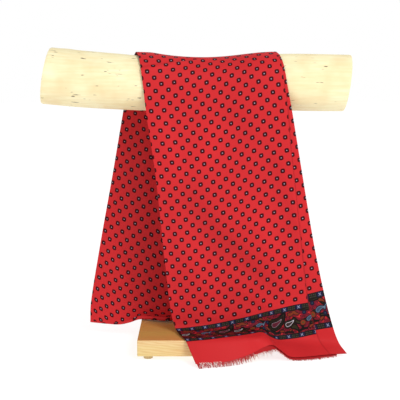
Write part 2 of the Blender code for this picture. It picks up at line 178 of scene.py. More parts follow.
def bell(distance, spread):
    """exp(-(distance / spread)^2), a soft hill of height 1."""
    return np.exp(-(distance / spread) ** 2)


# %% [markdown]
# A piece here is a grid of points worked out by a formula, so every piece needs the same
# last step: points and faces become a mesh that stands for its solid.

# %% Meshes from arrays
def grid_quads(across, along):
    """Corners of the quads of a grid whose points are numbered along first, then across."""
    index = np.arange(across * along).reshape(across, along)
    return np.stack([index[:-1, :-1], index[1:, :-1], index[1:, 1:], index[:-1, 1:]], -1).reshape(-1, 4)


def make_piece(name, node, points, faces, slot, *materials):
    """A mesh that stands for a node. Its place is in its points, which come in mm."""
    mesh = bpy.data.meshes.new(name)
    mesh.from_pydata(points * MM + BOARD_MIDDLE, [], faces)
    mesh.shade_smooth()
    for material in materials:
        mesh.materials.append(material)
    made = bpy.data.objects.new(name, mesh)
    bpy.context.scene.collection.objects.link(made)
    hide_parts(node)
    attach(made, "root")
    print(f"{name}: {len(mesh.vertices)} points, {len(mesh.polygons)} faces")
    return made


def store(piece, key, values):
    """Keep a number for each point of a piece, where its material can read it."""
    layer = piece.data.attributes.new(key, "FLOAT", "POINT")
    layer.data.foreach_set("value", values.ravel().astype(np.float32))


# %% [markdown]
# Cloth needs an edge that can be seen, so a shell is made from its grid: the points moved
# out on both sides along the surface's own normals, with a rim between. The Solidify
# modifier would do it too, but then the print, the creases and the normals where two
# stretches meet could not be set point by point.

# %% Shells of cloth
def grid_normals(points):
    """Square to a grid of points: the step across crossed with the step along, made length 1."""
    normal = np.cross(np.gradient(points, axis=0), np.gradient(points, axis=1))
    return normal / np.linalg.norm(normal, axis=-1, keepdims=True)


def make_shell(name, node, points, normals, thick, finish, printed, fields=None):
    """A thin closed wall of cloth on a grid: its points plus and minus half the thickness
    along the normals, and a rim of faces round the edge. printed, the place in the print
    across and down, becomes the UV map."""
    across, along = points.shape[:2]
    count = across * along
    half = normals * thick / 2
    index = np.arange(count).reshape(across, along)
    loop = np.concatenate([index[:-1, 0], index[-1, :-1], index[:0:-1, -1], index[0, :0:-1]])
    after = np.roll(loop, -1)
    outside = grid_quads(across, along)
    rim = np.stack([after, loop, loop + count, after + count], -1)
    faces = np.concatenate([outside, outside[:, ::-1] + count, rim])
    made = make_piece(name, node, np.concatenate([points + half, points - half]).reshape(-1, 3),
                      faces.tolist(), "silk", finish)
    mesh = made.data
    corners = np.empty(len(mesh.loops), np.int32)
    mesh.loops.foreach_get("vertex_index", corners)
    place = np.stack(printed, -1).reshape(-1, 2)[corners % count] * MM
    mesh.uv_layers.new(name="print").data.foreach_set("uv", place.astype(np.float32).ravel())
    for key, values in (fields or {}).items():
        store(made, key, np.tile(values.ravel(), 2))
    both_sides = np.concatenate([normals, -normals]).reshape(-1, 3)
    mesh.normals_split_custom_set_from_vertices(both_sides.tolist())
    return made


# %% [markdown]
# The base board, the post and the feet already have their true shape in the model, so
# their meshes stay and only get a finish. The board and the post are pine, sawn and sanded
# and left bare. Pine gives the eye honey-coloured bands with fine darker lines, running
# along the board, and a satin surface. Bands come from a wave texture bent by noise. They
# read Object coordinates, so the grain runs through the piece. The feet are pressed wool
# felt, matt and mottled, which a fine noise is enough for.

# %% Pine and felt for the stand
PINE_BAND = 5                    # spacing of the growth rings where the board cuts them
PINE_PORE = 0.9                  # the fine lines are finer still, drawn this coarse to show
PINE_CLOUD = 35.7                # patches in which the bands wander
FELT_FIBRE = 0.5


def pine(add, stretch, turn=0, top="#FFFFFF"):
    """Pine with its grain drawn out along one axis. Faces that look up are multiplied by top, a painted
    shade for a top that lies in the scarf's shadow.
    """
    place = add("Mapping", add("TexCoord", out="Object"), Scale=stretch,
                Rotation=(0, math.radians(turn), 0))
    bend = add("TexNoise", place, Scale=per(PINE_CLOUD), Detail=3.0, out="Color")
    bands = add("TexWave", place, bands_direction="DIAGONAL", Scale=wave_scale(PINE_BAND),
                Distortion=5.0, Detail=2.0, Detail_Scale=1.4, out="Fac")
    fine = add("TexNoise", place, Scale=per(PINE_PORE), Detail=2.0)
    share = add("Math MULTIPLY_ADD", bands, 0.75, add("Math MULTIPLY", fine, 0.35))
    wood = add("ValToRGB", share, ramp=((0, "#F5DC9C"), (1, "#E9C784")))
    wood = add("MixRGB MULTIPLY", 0.25, wood, bend)
    # painted shade: faces that look up are darkened by the top colour
    up = add("SeparateXYZ", add("NewGeometry", out="Normal"), out="Z")
    wood = add("MixRGB MULTIPLY", add("MapRange", up, 0.6, 0.9), wood, top)
    return dict(Base_Color=wood, Specular_IOR_Level=0.25,
                Roughness=add("MapRange", share, To_Min=0.5, To_Max=0.65),
                Normal=add("Bump", Height=share, Strength=0.25, Distance=0.2 * MM))


def felt(add):
    fibres = add("TexNoise", add("TexCoord", out="Object"), Scale=per(FELT_FIBRE), Detail=4.0)
    return dict(Base_Color=add("ValToRGB", fibres, ramp=((0, "#B99C6A"), (1, "#DCC79A"))),
                Roughness=0.95, Normal=add("Bump", Height=fibres, Strength=0.5, Distance=0.3 * MM))


# the board's top gets a painted shade, #DFBA90, for the scarf's shadow on it
finishes = {"base_board": make_material("pine_board_painted_top_shade", pine, stretch=(0.12, 1, 1), top="#DFBA90"),
            "post": make_material("pine_post", pine, stretch=(1, 1, 0.12), turn=90)}
finishes |= dict.fromkeys(("foot_1", "foot_2", "foot_3", "foot_4"), make_material("pressed_felt", felt))
for node, finish in finishes.items():
    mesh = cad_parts[node].data
    mesh.materials.clear()
    mesh.materials.append(finish)
print("finished in place:", sorted(finishes))

# %% [markdown]
# The log is a small tree trunk, peeled by hand and dried. It is thickest near its ends,
# waisted in the middle, and both saw cuts lean the same way. A turned cylinder would look
# machined, so its surface is a function of the turn and the place along it, with a few
# slow swells, shallow knife flats and low knots added to the measured radius.

# %% The log's surface
LOG_ROWS = (
    # x, height of the middle line, radius
    (-290, 514.2, 53.6), (-216, 507.4, 52.9), (-117, 500.2, 51.0), (15, 495.2, 47.6),
    (126, 500.3, 51.9), (190, 501.0, 53.0), (285, 499.4, 52.2),
)
LOG_ENDS = (-279.5, 277.0)       # the saw cuts, on the middle line
LOG_LEANS = (0.174, 0.118)       # x gained per rise in height on each cut
LOG_SWELL = 0.5                  # height of the slow swells
LOG_FLAT = 0.22                  # depth of the flats that the peeling knife left
FLATS_ROUND = 23
KNOTS = (
    # x, turn in degrees (0 front, 90 top), half length, half width, height
    (-192, 28, 11, 6, 0.9), (196, 47, 9, 6, 0.8), (240, -22, 12, 7, 0.9), (-238, 96, 12, 8, 1.0),
    (214, 150, 11, 7, 0.9), (-160, 200, 10, 6, 0.8), (30, 250, 12, 7, 0.9), (-60, -60, 10, 6, 0.7),
)
COVER_FROM, COVER_TO = (-140, -125), (170, 185)     # x where the scarf's cover begins and ends
HIGHEST, SUNK = 0.9, 0.3         # most relief on bare wood, and how far all of it is let in


def round_log(x, turn, lift):
    """Points round the log's middle line: the radius there plus lift, at each turn."""
    axis_z, radius = smooth_table(LOG_ROWS, x)
    reach = radius + lift
    return np.stack([x, -reach * np.cos(turn), axis_z + reach * np.sin(turn)], -1)


def log_relief(x, turn):
    """Height over the measured radius: three slow waves, the flats, and a bell a knot."""
    swell = LOG_SWELL * (np.sin(2 * turn + x / 61) * 0.5 + np.sin(3 * turn - x / 37) * 0.3
                         + np.sin(turn + x / 23) * 0.2)
    flats = -LOG_FLAT * np.abs(np.sin(FLATS_ROUND / 2 * turn + 0.9 * np.sin(x / 45)))
    knots = 0
    for knot_x, knot_turn, long, wide, height in KNOTS:
        apart = np.angle(np.exp(1j * (turn - math.radians(knot_turn)))) * 50
        knots = knots + height * bell(np.hypot((x - knot_x) / long, apart / wide), 1)
    return swell + flats + knots


def log_surface(turn, along):
    """Points at each turn and share along: the radius plus the relief, on slices that lean
    as the saw cuts do. Beneath the scarf nothing rises over the measured radius."""
    middle_x = mix(*LOG_ENDS, along)
    x = middle_x + mix(*LOG_LEANS, along) * smooth_table(LOG_ROWS, middle_x)[1] * np.sin(turn)
    bare = 1 - ease(*COVER_FROM, x) * (1 - ease(*COVER_TO, x))
    return round_log(x, turn, np.minimum(log_relief(x, turn), HIGHEST * bare) - SUNK)


# %% [markdown]
# A peeled log is cream-coloured sapwood, dried and unvarnished. It gives the eye a pale,
# nearly matt surface, faint long streaks, warmer clouds, and short dark flecks, 3 to 8 mm
# long, where bark threads and small buds were. Flecks are the dark spots of a stretched
# noise above a threshold, so they come out sparse and uneven. The sawn ends show growth
# rings, drawn about twice as wide as real ones, a brown heart and marks of the saw.

# %% Peeled wood and its sawn ends
FLECK_LONG, FLECK_WIDE = 9, 1.6
FLECKS_MOVED = (0.013, 0.005, 0.009)
FLECK_FROM, FLECK_TO = 0.893, 0.945
STREAK, CLOUD, FLECK_PATCH = 5, 71.4, 38.5
RING_WIDTH, RING_WOBBLE, WOBBLE_SIZE = 5.5, 4, 22.2
PITH_OFF = (5.0, -4.0)           # the pith lies off the middle, back and down
HEART_FROM, HEART_TO, PITH_FROM, PITH_TO = 22, 12, 4.5, 3.5
SAW_MARK = 3.03


def peeled_wood(add):
    place = add("TexCoord", out="Object")
    streaks = add("TexNoise", add("Mapping", place, Scale=(0.1, 1, 1)), Scale=per(STREAK), Detail=4.0)
    clouds = add("TexNoise", place, Scale=per(CLOUD), Detail=3.0)
    wood = add("ValToRGB", streaks, ramp=((0.25, "#EDDDAA"), (0.7, "#F8EFC6")))
    wood = add("MixRGB", add("MapRange", clouds, 0.45, 0.75), wood, "#E9CF9C")
    spots_at = add("Mapping", place, FLECKS_MOVED, Scale=(FLECK_WIDE / FLECK_LONG, 1, 1))
    spots = add("TexNoise", spots_at, Scale=per(FLECK_WIDE * 2.2), Detail=1.5)
    gather = add("TexNoise", place, Scale=per(FLECK_PATCH), Detail=1.0)
    fleck = add("MapRange", add("Math MULTIPLY_ADD", gather, 0.35, spots), FLECK_FROM, FLECK_TO)
    height = add("Math MULTIPLY_ADD", fleck, -1.5, streaks)
    return dict(Base_Color=add("MixRGB", fleck, wood, "#54402A"), Roughness=0.62,
                Normal=add("Bump", Height=height, Strength=0.35, Distance=0.3 * MM))


def sawn_end(add):
    """End grain: the distance from the pith, a little uneven, repeats as rings."""
    place = add("TexCoord", out="Object")
    wobble = add("TexNoise", place, Scale=per(WOBBLE_SIZE), Detail=2.0)
    far = add("Math MULTIPLY_ADD", wobble, RING_WOBBLE,
              add("Attribute", attribute_name="from_pith", out="Fac"))
    ring = add("Math FRACT", add("Math DIVIDE", far, RING_WIDTH))
    wood = add("ValToRGB", ring, ramp=((0.35, "#F3E2B8"), (0.95, "#BF9258")))
    wood = add("MixRGB", add("MapRange", far, HEART_FROM, HEART_TO, 0, 0.45), wood, "#B98A54")
    wood = add("MixRGB", add("MapRange", far, PITH_FROM, PITH_TO), wood, "#6E4A28")
    saw = add("TexNoise", add("Mapping", place, Scale=(1, 0.05, 1)), Scale=per(SAW_MARK), Detail=1.0)
    return dict(Base_Color=add("MixRGB MULTIPLY", 0.3, wood, saw), Roughness=0.75,
                Normal=add("Bump", Height=saw, Strength=0.4, Distance=0.3 * MM))


# %% [markdown]
# The log's skin is one closed grid. Each end is the same ring of points drawn in towards
# the middle, rounded at the rim first, so no seam or open pole is left. The distance from
# the pith is stored on the points, and the end's material counts its growth rings by it.

# %% Make the log
RIM, CAP_FROM, CAP_TO = 0.985, 0.96, 0.02  # sizes of the rings that close an end
SKIN_INSET = 0.004               # the skin's rings keep this share away from each end
SHARP_OVER = 50                  # degrees


def make_log(around=160, steps=190, end_rings=14):
    turn = np.linspace(0, 2 * math.pi, around, endpoint=False)[:, None]
    inward = np.concatenate([[RIM], np.linspace(CAP_FROM, CAP_TO, end_rings)])[None, :, None]
    caps = []
    for middle_x, along in zip(LOG_ENDS, (0.0, 1.0)):
        middle = np.array([middle_x, 0, smooth_table(LOG_ROWS, middle_x)[0]])
        caps.append(middle + (log_surface(turn, along) - middle) * inward)
    skin = log_surface(turn, np.linspace(SKIN_INSET, 1 - SKIN_INSET, steps)[None])
    grid = np.concatenate([caps[0][:, ::-1], skin, caps[1]], axis=1)
    columns = grid.shape[1]
    pole = around * columns
    quads = (grid_quads(around + 1, columns) % pole)[:, ::-1]
    starts = np.arange(around) * columns
    after = np.roll(starts, -1)
    fans = [np.stack([np.full(around, pole), starts, after], -1),
            np.stack([np.full(around, pole + 1), after + columns - 1, starts + columns - 1], -1)]
    points = np.concatenate([grid.reshape(-1, 3), [grid[:, 0].mean(0), grid[:, -1].mean(0)]])
    made = make_piece("log_skin", "log", points, quads.tolist() + np.concatenate(fans).tolist(),
                      "peeled_log", make_material("peeled_log", peeled_wood),
                      make_material("sawn_end", sawn_end))
    above_axis = points[:, 2] - smooth_table(LOG_ROWS, points[:, 0])[0]
    store(made, "from_pith", np.hypot(points[:, 1] - PITH_OFF[0], above_axis - PITH_OFF[1]))
    column = quads.min(1) % columns
    is_end = np.ones(len(made.data.polygons), np.int32)
    is_end[:len(quads)] = (column < end_rings) | (column >= columns - end_rings - 1)
    made.data.polygons.foreach_set("material_index", is_end)
    made.data.set_sharp_from_angle(angle=math.radians(SHARP_OVER))


make_log()

# %% [markdown]
# The scarf is one flat tube of silk. Followed from its front hem it runs up the front,
# over the log and down the back: that is the outer run. There it folds, and the return run
# comes up again beneath it. Cloth that hangs this straight needs no simulation: the paths
# are lines with rounded corners, read from the photograph's edges, and the creases are
# added afterwards. The tables are the ones that the plain solids were built from.

# %% Sizes of the cloth
WIDTH = 284                      # the flat tube
CLOTH_SHOWN = 1.1                # both layers of the tube, pressed flat
OUTER_LIFT = 3.9                 # middle of the outer run above the log
INNER_LIFT = 1.45                # middle of the return run, beneath it
OUTER_TURN_ROWS = (
    # turn round the log in degrees, left x, right x
    (0, -98, 161.6), (45, -104, 154), (90, -113, 143), (135, -122, 134), (180, -129, 127),
)
INNER_TURN_ROWS = ((30, -99, 152), (90, -110, 140), (135, -120, 134), (180, -132, 130))
INNER_END_ROWS = ((0, 44), (0.25, 65), (0.5, 87), (0.75, 98), (1, 104))
FRONT_EDGE_ROWS = (
    # share down, left x, right x
    (0.00, -98.0, 161.6), (0.10, -91.7, 171.5), (0.30, -76.1, 189.5), (0.58, -60.3, 215.4),
    (0.77, -48.0, 237.0), (0.85, -34.0, 248.0), (0.91, -21.5, 257.5), (0.95, -13.0, 265.5),
    (1.00, -2.5, 276.0),
)
FOOT_ROWS = (
    # share across, knee z, ledge y, ledge z, hem y, hem z
    (0.000, 44, -112, 41.8, -150, 8.0), (0.200, 45, -112, 42.0, -136, 8.0),
    (0.360, 46, -112, 43.0, -119, 17.0), (0.440, 48, -111, 43.5, -113, 27.0),
    (0.500, 48, -88, 42.0, -109, 30.0), (0.550, 42, -72, 33.0, -105, 19.5),
    (0.620, 37, -67, 27.0, -106, 7.0), (0.750, 32, -65, 21.0, -102, 6.5),
    (0.875, 29, -64, 18.0, -91, 6.5), (1.000, 27, -63, 16.0, -85, 6.5),
)
FRONT_PLANE_Y, FRONT_DISH, FRONT_PLANE_Z = -56.5, 2.0, 400
FINE_PRINT_Z = 118               # below this height the rows lie closer, for the border
CORNER_ROUNDS = (45, 5, 15, 9)   # off the log, a straight point, the knee, the ledge
BACK_EDGE_ROWS = (
    # share up, left x, right x
    (0.00, -212.5, 72.0), (0.08, -210.8, 74.0), (0.33, -190.6, 88.0),
    (0.60, -166.4, 106.0), (0.88, -142.4, 123.0), (1.00, -132.0, 130.0),
)
BACK_PLANE_Y, BACK_PLANE_Z = 53.8, 420
OUTER_INSET, INSET_REACHED = 3.0, 0.15     # narrower than the return run, from this share up
FOLD_ROWS = (
    # share across, bend z, fold y, fold z, slope in degrees
    (0.00, 110, 50, 30.0, 0), (0.13, 110, 44, 28.5, 8), (0.21, 105, 37, 30.5, 24),
    (0.28, 100, 30, 38.0, 52), (0.34, 100, 24, 46.5, 76), (0.40, 100, 20, 48.5, 86),
    (0.47, 100, 14, 48.5, 88), (0.54, 100, 9, 48.5, 88), (0.61, 100, 18, 48.5, 88),
    (0.68, 100, 28, 48.5, 88), (0.80, 100, 29, 48.5, 88), (1.00, 100, 34, 48.5, 88),
)
FOLD_PULL, BEND_PULL = 0.45, 0.5
FOLD_DEPTH, FOLD_CLOSES_AT = 6.5, 0.45
SEAM_ROWS = (
    # distance below the log's front, share across where the seam runs
    (-170, 0.990), (-60, 0.988), (0, 0.981), (35, 0.976), (110, 0.952), (220, 0.932),
    (290, 0.917), (375, 0.893), (400, 0.885), (470, 0.880), (550, 0.890),
)
SEAM_HALF = 0.0016               # half the stitched groove, as a share of the width
PANEL_COLUMNS, STRIP_COLUMNS, RETURN_COLUMNS = 158, 15, 112
EVEN_COLUMNS, OUTER_TURNS, INNER_TURNS = 385, 72, 44
print("tables of the cloth:", len(FOOT_ROWS), "rows at its foot,", len(FOLD_ROWS), "at its fold")

# %% [markdown]
# Two small tools turn corners into cloth. One rounds the corners of a whole family of
# paths at once. The other reads a finished surface at shares between its columns, which
# lets the columns follow the seam as it drifts across the tube.

# %% Paths and resampling
ROUND_SHARE, FIRST_SHARE, LAST_SHARE = 0.47, 0.9, 0.8     # most of a straight that a round takes


def shares(steps):
    """Even shares from 0 to 1 for the points along every path."""
    return np.linspace(0, 1, steps + 1)[None, :, None]


def pairs(y, z):
    return np.stack(np.broadcast_arrays(y, z), axis=-1).astype(float)


def rounded_paths(corners, rounds, curve_steps, straight_steps):
    """Paths (y, z) through corner points, one path a row: straight runs, and at each inner
    corner the parabola (1-t)^2 enter + 2t(1-t) corner + t^2 leave."""
    pieces, start = [], corners[0]
    for i, corner in enumerate(corners[1:-1]):
        into, out = corner - corners[i], corners[i + 2] - corner
        into_long, out_long = (np.linalg.norm(way, axis=1, keepdims=True) for way in (into, out))
        into_share = ROUND_SHARE if i else FIRST_SHARE
        out_share = ROUND_SHARE if i < len(rounds) - 1 else LAST_SHARE
        enter = corner - into / into_long * np.minimum(rounds[i], into_long * into_share)
        leave = corner + out / out_long * np.minimum(rounds[i], out_long * out_share)
        pieces.append(mix(start[:, None], enter[:, None], shares(straight_steps[i])[:, :-1]))
        t = shares(curve_steps[i])[:, :-1]
        pieces.append((1 - t) ** 2 * enter[:, None] + 2 * t * (1 - t) * corner[:, None]
                      + t * t * leave[:, None])
        start = leave
    pieces.append(mix(start[:, None], corners[-1][:, None], shares(straight_steps[-1])))
    return np.concatenate(pieces, axis=1)


def run_lengths(paths):
    """Distance along each path at each of its points."""
    steps = np.linalg.norm(np.diff(paths, axis=1), axis=2)
    return np.concatenate([np.zeros((len(paths), 1)), np.cumsum(steps, axis=1)], axis=1)


def with_x(paths, edge_rows, share):
    """Give each path (y, z) its x between the cloth's two edges at the same share of its
    length, and give those shares too."""
    lengths = run_lengths(paths)
    along = lengths / lengths[:, -1:]
    left, right = smooth_table(edge_rows, along)
    return np.concatenate([mix(left, right, share[:, None])[..., None], paths], axis=-1), along


def between_columns(values, share):
    """Values known on evenly spaced columns, read at a share that may differ in every row."""
    place = share * (len(values) - 1)
    low = np.clip(place.astype(int), 0, len(values) - 2)
    t = (place - low).reshape(low.shape + (1,) * (values.ndim - 2))
    row = np.broadcast_to(np.arange(values.shape[1]), low.shape)
    return mix(values[low, row], values[low + 1, row], t)


# %% [markdown]
# The outer run is worked out as one surface, from the hem to the fold, so that its normals
# and its creases pass smoothly from one stretch to the next. Its first two stretches are
# the front fall, which bends over the board's edge, and the turn over the log.

# %% Paths of the front and the top
def front_fall(share):
    """Paths from the hem up to the log's front, through the ledge, the knee and the plane."""
    knee_z, ledge_y, ledge_z, hem_y, hem_z = smooth_table(FOOT_ROWS, share)
    axis_z, radius = smooth_table(LOG_ROWS, mix(*OUTER_TURN_ROWS[0][1:], share))
    plane_y = FRONT_PLANE_Y + FRONT_DISH * np.sin(math.pi * share)
    corners = [pairs(-(radius + OUTER_LIFT), axis_z), pairs(plane_y, FRONT_PLANE_Z),
               pairs(plane_y, FINE_PRINT_Z), pairs(plane_y, knee_z), pairs(ledge_y, ledge_z),
               pairs(hem_y, hem_z)]
    paths = rounded_paths(corners, CORNER_ROUNDS, curve_steps=(14, 2, 18, 14),
                          straight_steps=(8, 86, 64, 34, 28))
    return with_x(paths, FRONT_EDGE_ROWS, share)[0][:, ::-1]


def over_log(share, turn_rows, lift, turns):
    """Points round the log at each turn in degrees, with x between the two edges there."""
    left, right = smooth_table(turn_rows, turns)
    return round_log(mix(left, right, share[:, None]), np.radians(turns), lift)


# %% [markdown]
# At the back the return run is worked out first, because it lies against the log. The back
# fall follows it at a small distance, as the two sides of a pressed fold do.

# %% Paths of the back
def return_paths(share, fold_steps=44, plane_steps=92, top_steps=20):
    """Paths (y, z) of the return run, from the fold up to the log's back: a cubic curve
    from the fold's slope to the upright, then two straight runs."""
    bend_z, fold_y, fold_z, slope = smooth_table(FOLD_ROWS, share)
    slope = np.radians(slope)
    fold, bend = pairs(fold_y, fold_z), pairs(BACK_PLANE_Y, bend_z)
    rise = np.linalg.norm(bend - fold, axis=1, keepdims=True)
    from_fold = fold + pairs(np.sin(slope), np.cos(slope)) * rise * FOLD_PULL
    from_bend = bend - pairs(0, 1) * rise * BEND_PULL
    t = shares(fold_steps)
    curve = ((1 - t) ** 3 * fold[:, None] + 3 * t * (1 - t) ** 2 * from_fold[:, None]
             + 3 * t * t * (1 - t) * from_bend[:, None] + t**3 * bend[:, None])
    plane = pairs(BACK_PLANE_Y, BACK_PLANE_Z)
    upright = mix(bend[:, None], plane, shares(plane_steps)[:, 1:])
    top = over_log(share, INNER_TURN_ROWS, INNER_LIFT, np.array([180.0]))[:, :, 1:]
    return np.concatenate([curve, upright, mix(plane, top, shares(top_steps)[:, 1:])], axis=1)


def back_fall(share, loop_steps=16):
    """The outer run down the back: the return's points moved out behind it, then a half
    circle round the fold."""
    paths = return_paths(share)
    points, along = with_x(paths, BACK_EDGE_ROWS, share)
    way = np.gradient(paths, axis=1)
    way /= np.linalg.norm(way, axis=2, keepdims=True)
    out = np.stack([way[..., 1], -way[..., 0]], axis=-1)
    apart = mix(FOLD_DEPTH, OUTER_LIFT - INNER_LIFT, ease(0, FOLD_CLOSES_AT, along))[..., None]
    fall = np.concatenate([points[..., :1], paths + out * apart], axis=-1)
    fall[..., 0] += OUTER_INSET * (1 - 2 * share[:, None]) * ease(0, INSET_REACHED, along)
    angle = math.pi * shares(loop_steps)[:, 1:]
    loop = paths[:, :1] + FOLD_DEPTH / 2 * (out[:, :1] * (1 + np.cos(angle)) - way[:, :1] * np.sin(angle))
    loop = np.concatenate([np.repeat(points[:, :1, :1], loop_steps, axis=1), loop], axis=-1)
    return np.concatenate([fall[:, ::-1], loop], axis=1)


# %% [markdown]
# The stretches are joined on many even columns first. Then the surface is read again on
# fewer columns, a panel left of the seam and a strip right of it, so that the stitched
# groove lies exactly between two columns and stays crisp.

# %% Join the outer run
even_share = np.linspace(0, 1, EVEN_COLUMNS)
turns = np.linspace(0, 180, OUTER_TURNS)
front = front_fall(even_share)
FRONT_ROWS = front.shape[1]
TOP_END = FRONT_ROWS + len(turns) - 1
outer = np.concatenate([front, over_log(even_share, OUTER_TURN_ROWS, OUTER_LIFT, turns)[:, 1:],
                        back_fall(even_share)[:, 1:]], axis=1)
distance = run_lengths(outer)
distance = distance[:, FRONT_ROWS - 1:FRONT_ROWS] - distance
seam = smooth_table(SEAM_ROWS, distance[len(distance) // 2])[0]
outer_share = np.concatenate([
    np.linspace(0, 1, PANEL_COLUMNS)[:, None] * (seam - SEAM_HALF),
    mix(seam + SEAM_HALF, 1.0, np.linspace(0, 1, STRIP_COLUMNS)[:, None])])
outer = between_columns(outer, outer_share)
distance = between_columns(distance, outer_share)
print("outer run:", outer.shape[:2], "points, from", distance.max().round(), "to",
      distance.min().round(), "mm")

# %% [markdown]
# The print is fixed to the cloth, not to the room. Each point gets its place in the print
# in millimetres: across the tube, and down it from a row of dots. The rows rise to the
# right, because the cloth went on the log a little askew, and the strip right of the seam
# has slipped by 45 mm, so its border sits higher. Below the border's top the cloth is
# gathered under the wave, so the print is spread evenly down to the hem there.

# %% Where each point lies in the print
DOT_ACROSS, DOT_DOWN = 23.4, 23.85
TERM_LENGTH = 400
ACROSS_TERMS = (
    # power of the share across, power of the distance in lengths of 400 mm, mm
    (0, 0, -115.4), (0, 1, 8.9), (0, 2, -35.6), (0, 3, 24.2), (1, 0, 256.5), (1, 1, 24.7),
    (1, 2, 17.4), (2, 0, 7.1), (2, 1, -14.9), (3, 0, -3.4),
)
DOWN_TERMS = (
    (0, 0, -18.0), (0, 1, 399.4), (0, 2, -3.2), (0, 3, -0.5), (1, 0, 15.1), (1, 1, 10.9),
    (1, 2, 0.6), (2, 0, 92.2), (2, 1, -12.75), (3, 0, -59.0),
)
SEEN_FROM, SEEN_TO = -45, 480    # distances between which the photograph shows the print
FIRST_ROW = 66.5                 # a row of dots, this far below the log's front
BORDER_TOP, BORDER_HEIGHT, CLOTH_END = 434.0, 58.5, 541.0
STRIP_SLIP, STRIP_RISE, STRIP_FROM = 45.7, 5.5, -60
STRIP_DOT, STRIP_DOT_SHARE = 0.9967, 0.085
STRIP_OFFSET = 11                # dot spacings between the strip's print and the panel's


def sum_of_terms(terms, share, distance):
    """Sum of size x share^i x (distance / 400)^j."""
    return sum(size * share**i * (distance / TERM_LENGTH) ** j for i, j, size in terms)


def print_on_outer(share, distance, seam):
    """Across and down: the sums of terms on the front, and straight on beyond it, over the
    log and down the back. Below the border's top, down is spread linearly to the hem."""
    seen = np.clip(distance, SEEN_FROM, SEEN_TO)
    strip_across = (share - STRIP_DOT) / STRIP_DOT_SHARE
    on_strip = (share > seam) & (distance > STRIP_FROM)
    across = np.where(on_strip, (strip_across + STRIP_OFFSET) * DOT_ACROSS,
                      sum_of_terms(ACROSS_TERMS, share, seen))
    down = np.where(on_strip, distance + STRIP_RISE * strip_across + STRIP_SLIP,
                    sum_of_terms(DOWN_TERMS, share, seen) + distance - seen)
    hem = distance[:, :1]
    border_at = distance + BORDER_TOP - down
    spread = CLOTH_END - (CLOTH_END - BORDER_TOP) * np.maximum(hem - distance, 0) / (hem - border_at)
    return across, np.where(down > BORDER_TOP, spread, down) - FIRST_ROW


outer_across, outer_down = print_on_outer(outer_share, distance, seam)
print("print: down from", outer_down.min().round(), "to", outer_down.max().round(), "mm")

# %% [markdown]
# Silk creases softly. Each crease here is a trough or a ridge, given one by one: where its
# middle is, which way it runs, how long, how wide and how deep it is. They are as uneven
# as in the photograph, with similar ones on the back, which it does not show. Two things
# are deeper: the lip on top of the log, where the cloth bridges the hidden end beneath,
# and the stitched groove of the seam.

# %% Creases, one by one
FRONT_CREASES = (
    # across (share), distance below the log's front, run in degrees from straight down,
    # length, width, height (a ridge) or depth (negative)
    (0.30, 255, 28, 150, 24, -3.4), (0.52, 330, 40, 130, 20, -3.0), (0.22, 330, 12, 120, 22, 2.2),
    (0.72, 300, 18, 170, 26, 2.4), (0.83, 200, 8, 190, 16, -1.8), (0.93, 260, 4, 200, 12, 1.4),
    (0.12, 120, 6, 140, 18, 1.8), (0.40, 110, -22, 110, 22, 2.0), (0.62, 70, 35, 90, 18, -1.6),
    (0.20, 440, -55, 70, 16, 1.2), (0.48, 405, 62, 80, 14, -1.5), (0.70, 420, 70, 90, 16, 1.2),
    (0.60, 470, 30, 60, 12, -1.4), (0.80, 480, 20, 60, 12, 1.2), (0.06, 300, 2, 220, 10, -0.9),
)
TOP_CREASES = (
    (0.20, -60, 62, 60, 9, 0.8), (0.70, -50, 15, 70, 20, -0.64), (0.90, -40, 5, 90, 10, 0.56),
    (0.45, -120, -20, 60, 16, -0.64), (0.10, -110, 10, 70, 12, 0.56),
)
BACK_CREASES = (
    (0.25, -300, -14, 150, 24, -1.2), (0.60, -260, 18, 170, 24, 2.6), (0.80, -380, 10, 150, 18, -1.1),
    (0.40, -420, 30, 120, 18, 2.4), (0.15, -450, -8, 130, 16, 1.9), (0.55, -510, 50, 90, 14, -1.2),
    (0.90, -520, 15, 110, 13, 1.8), (0.33, -560, 70, 80, 14, -1.0), (0.72, -560, -50, 80, 12, 1.6),
    (0.08, -330, 6, 160, 10, 1.6), (0.95, -300, -5, 180, 10, 1.4),
)
RETURN_CREASES = (
    # share, distance above the fold, run, length, width, height
    (0.16, 120, -20, 150, 16, 1.8), (0.27, 90, -26, 140, 14, -1.8), (0.10, 250, -12, 160, 18, -1.3),
    (0.24, 280, -14, 170, 16, 1.4), (0.40, 180, -18, 170, 20, -1.4), (0.06, 60, -38, 70, 12, 1.2),
    (0.60, 200, 8, 200, 26, 1.4), (0.80, 260, 12, 180, 24, -1.4), (0.34, 60, 60, 60, 12, 1.0),
)
LIP_START, LIP_SLOPE = 33, 86    # degrees of turn at the left edge, and more per share
LIP_FADE = (0.46, 0.62)
LIP_HEIGHT, LIP_BEFORE, LIP_SPREAD = 1.4, 7, 6
VALLEY_DEPTH, VALLEY_BEHIND, VALLEY_SPREAD = 2.1, 2, 4.0
SLACK_HEIGHT, SLACK_X, SLACK_SPREAD_X, SLACK_SPREAD_TURN = 2.5, -90, 35, 25
GROOVE_DEPTH, GROOVE_HALF, GROOVE_FROM = 0.5, 1.8, -150
FRONT_BEGINS = (8, 60)           # the front's creases grow over this length below the log
BACK_CLEAR, RETURN_CLEAR = (160, 640), (6, 440)      # lengths within which the others stay
FADE = 25                        # they fade over this length, where cloth meets what carries it
print("creases:", sum(map(len, (FRONT_CREASES, TOP_CREASES, BACK_CREASES, RETURN_CREASES))))

# %% [markdown]
# The creases are heights over the smooth surface, so they can simply be added up and laid
# on along its normals. A cloth simulation would give other creases than the ones seen.

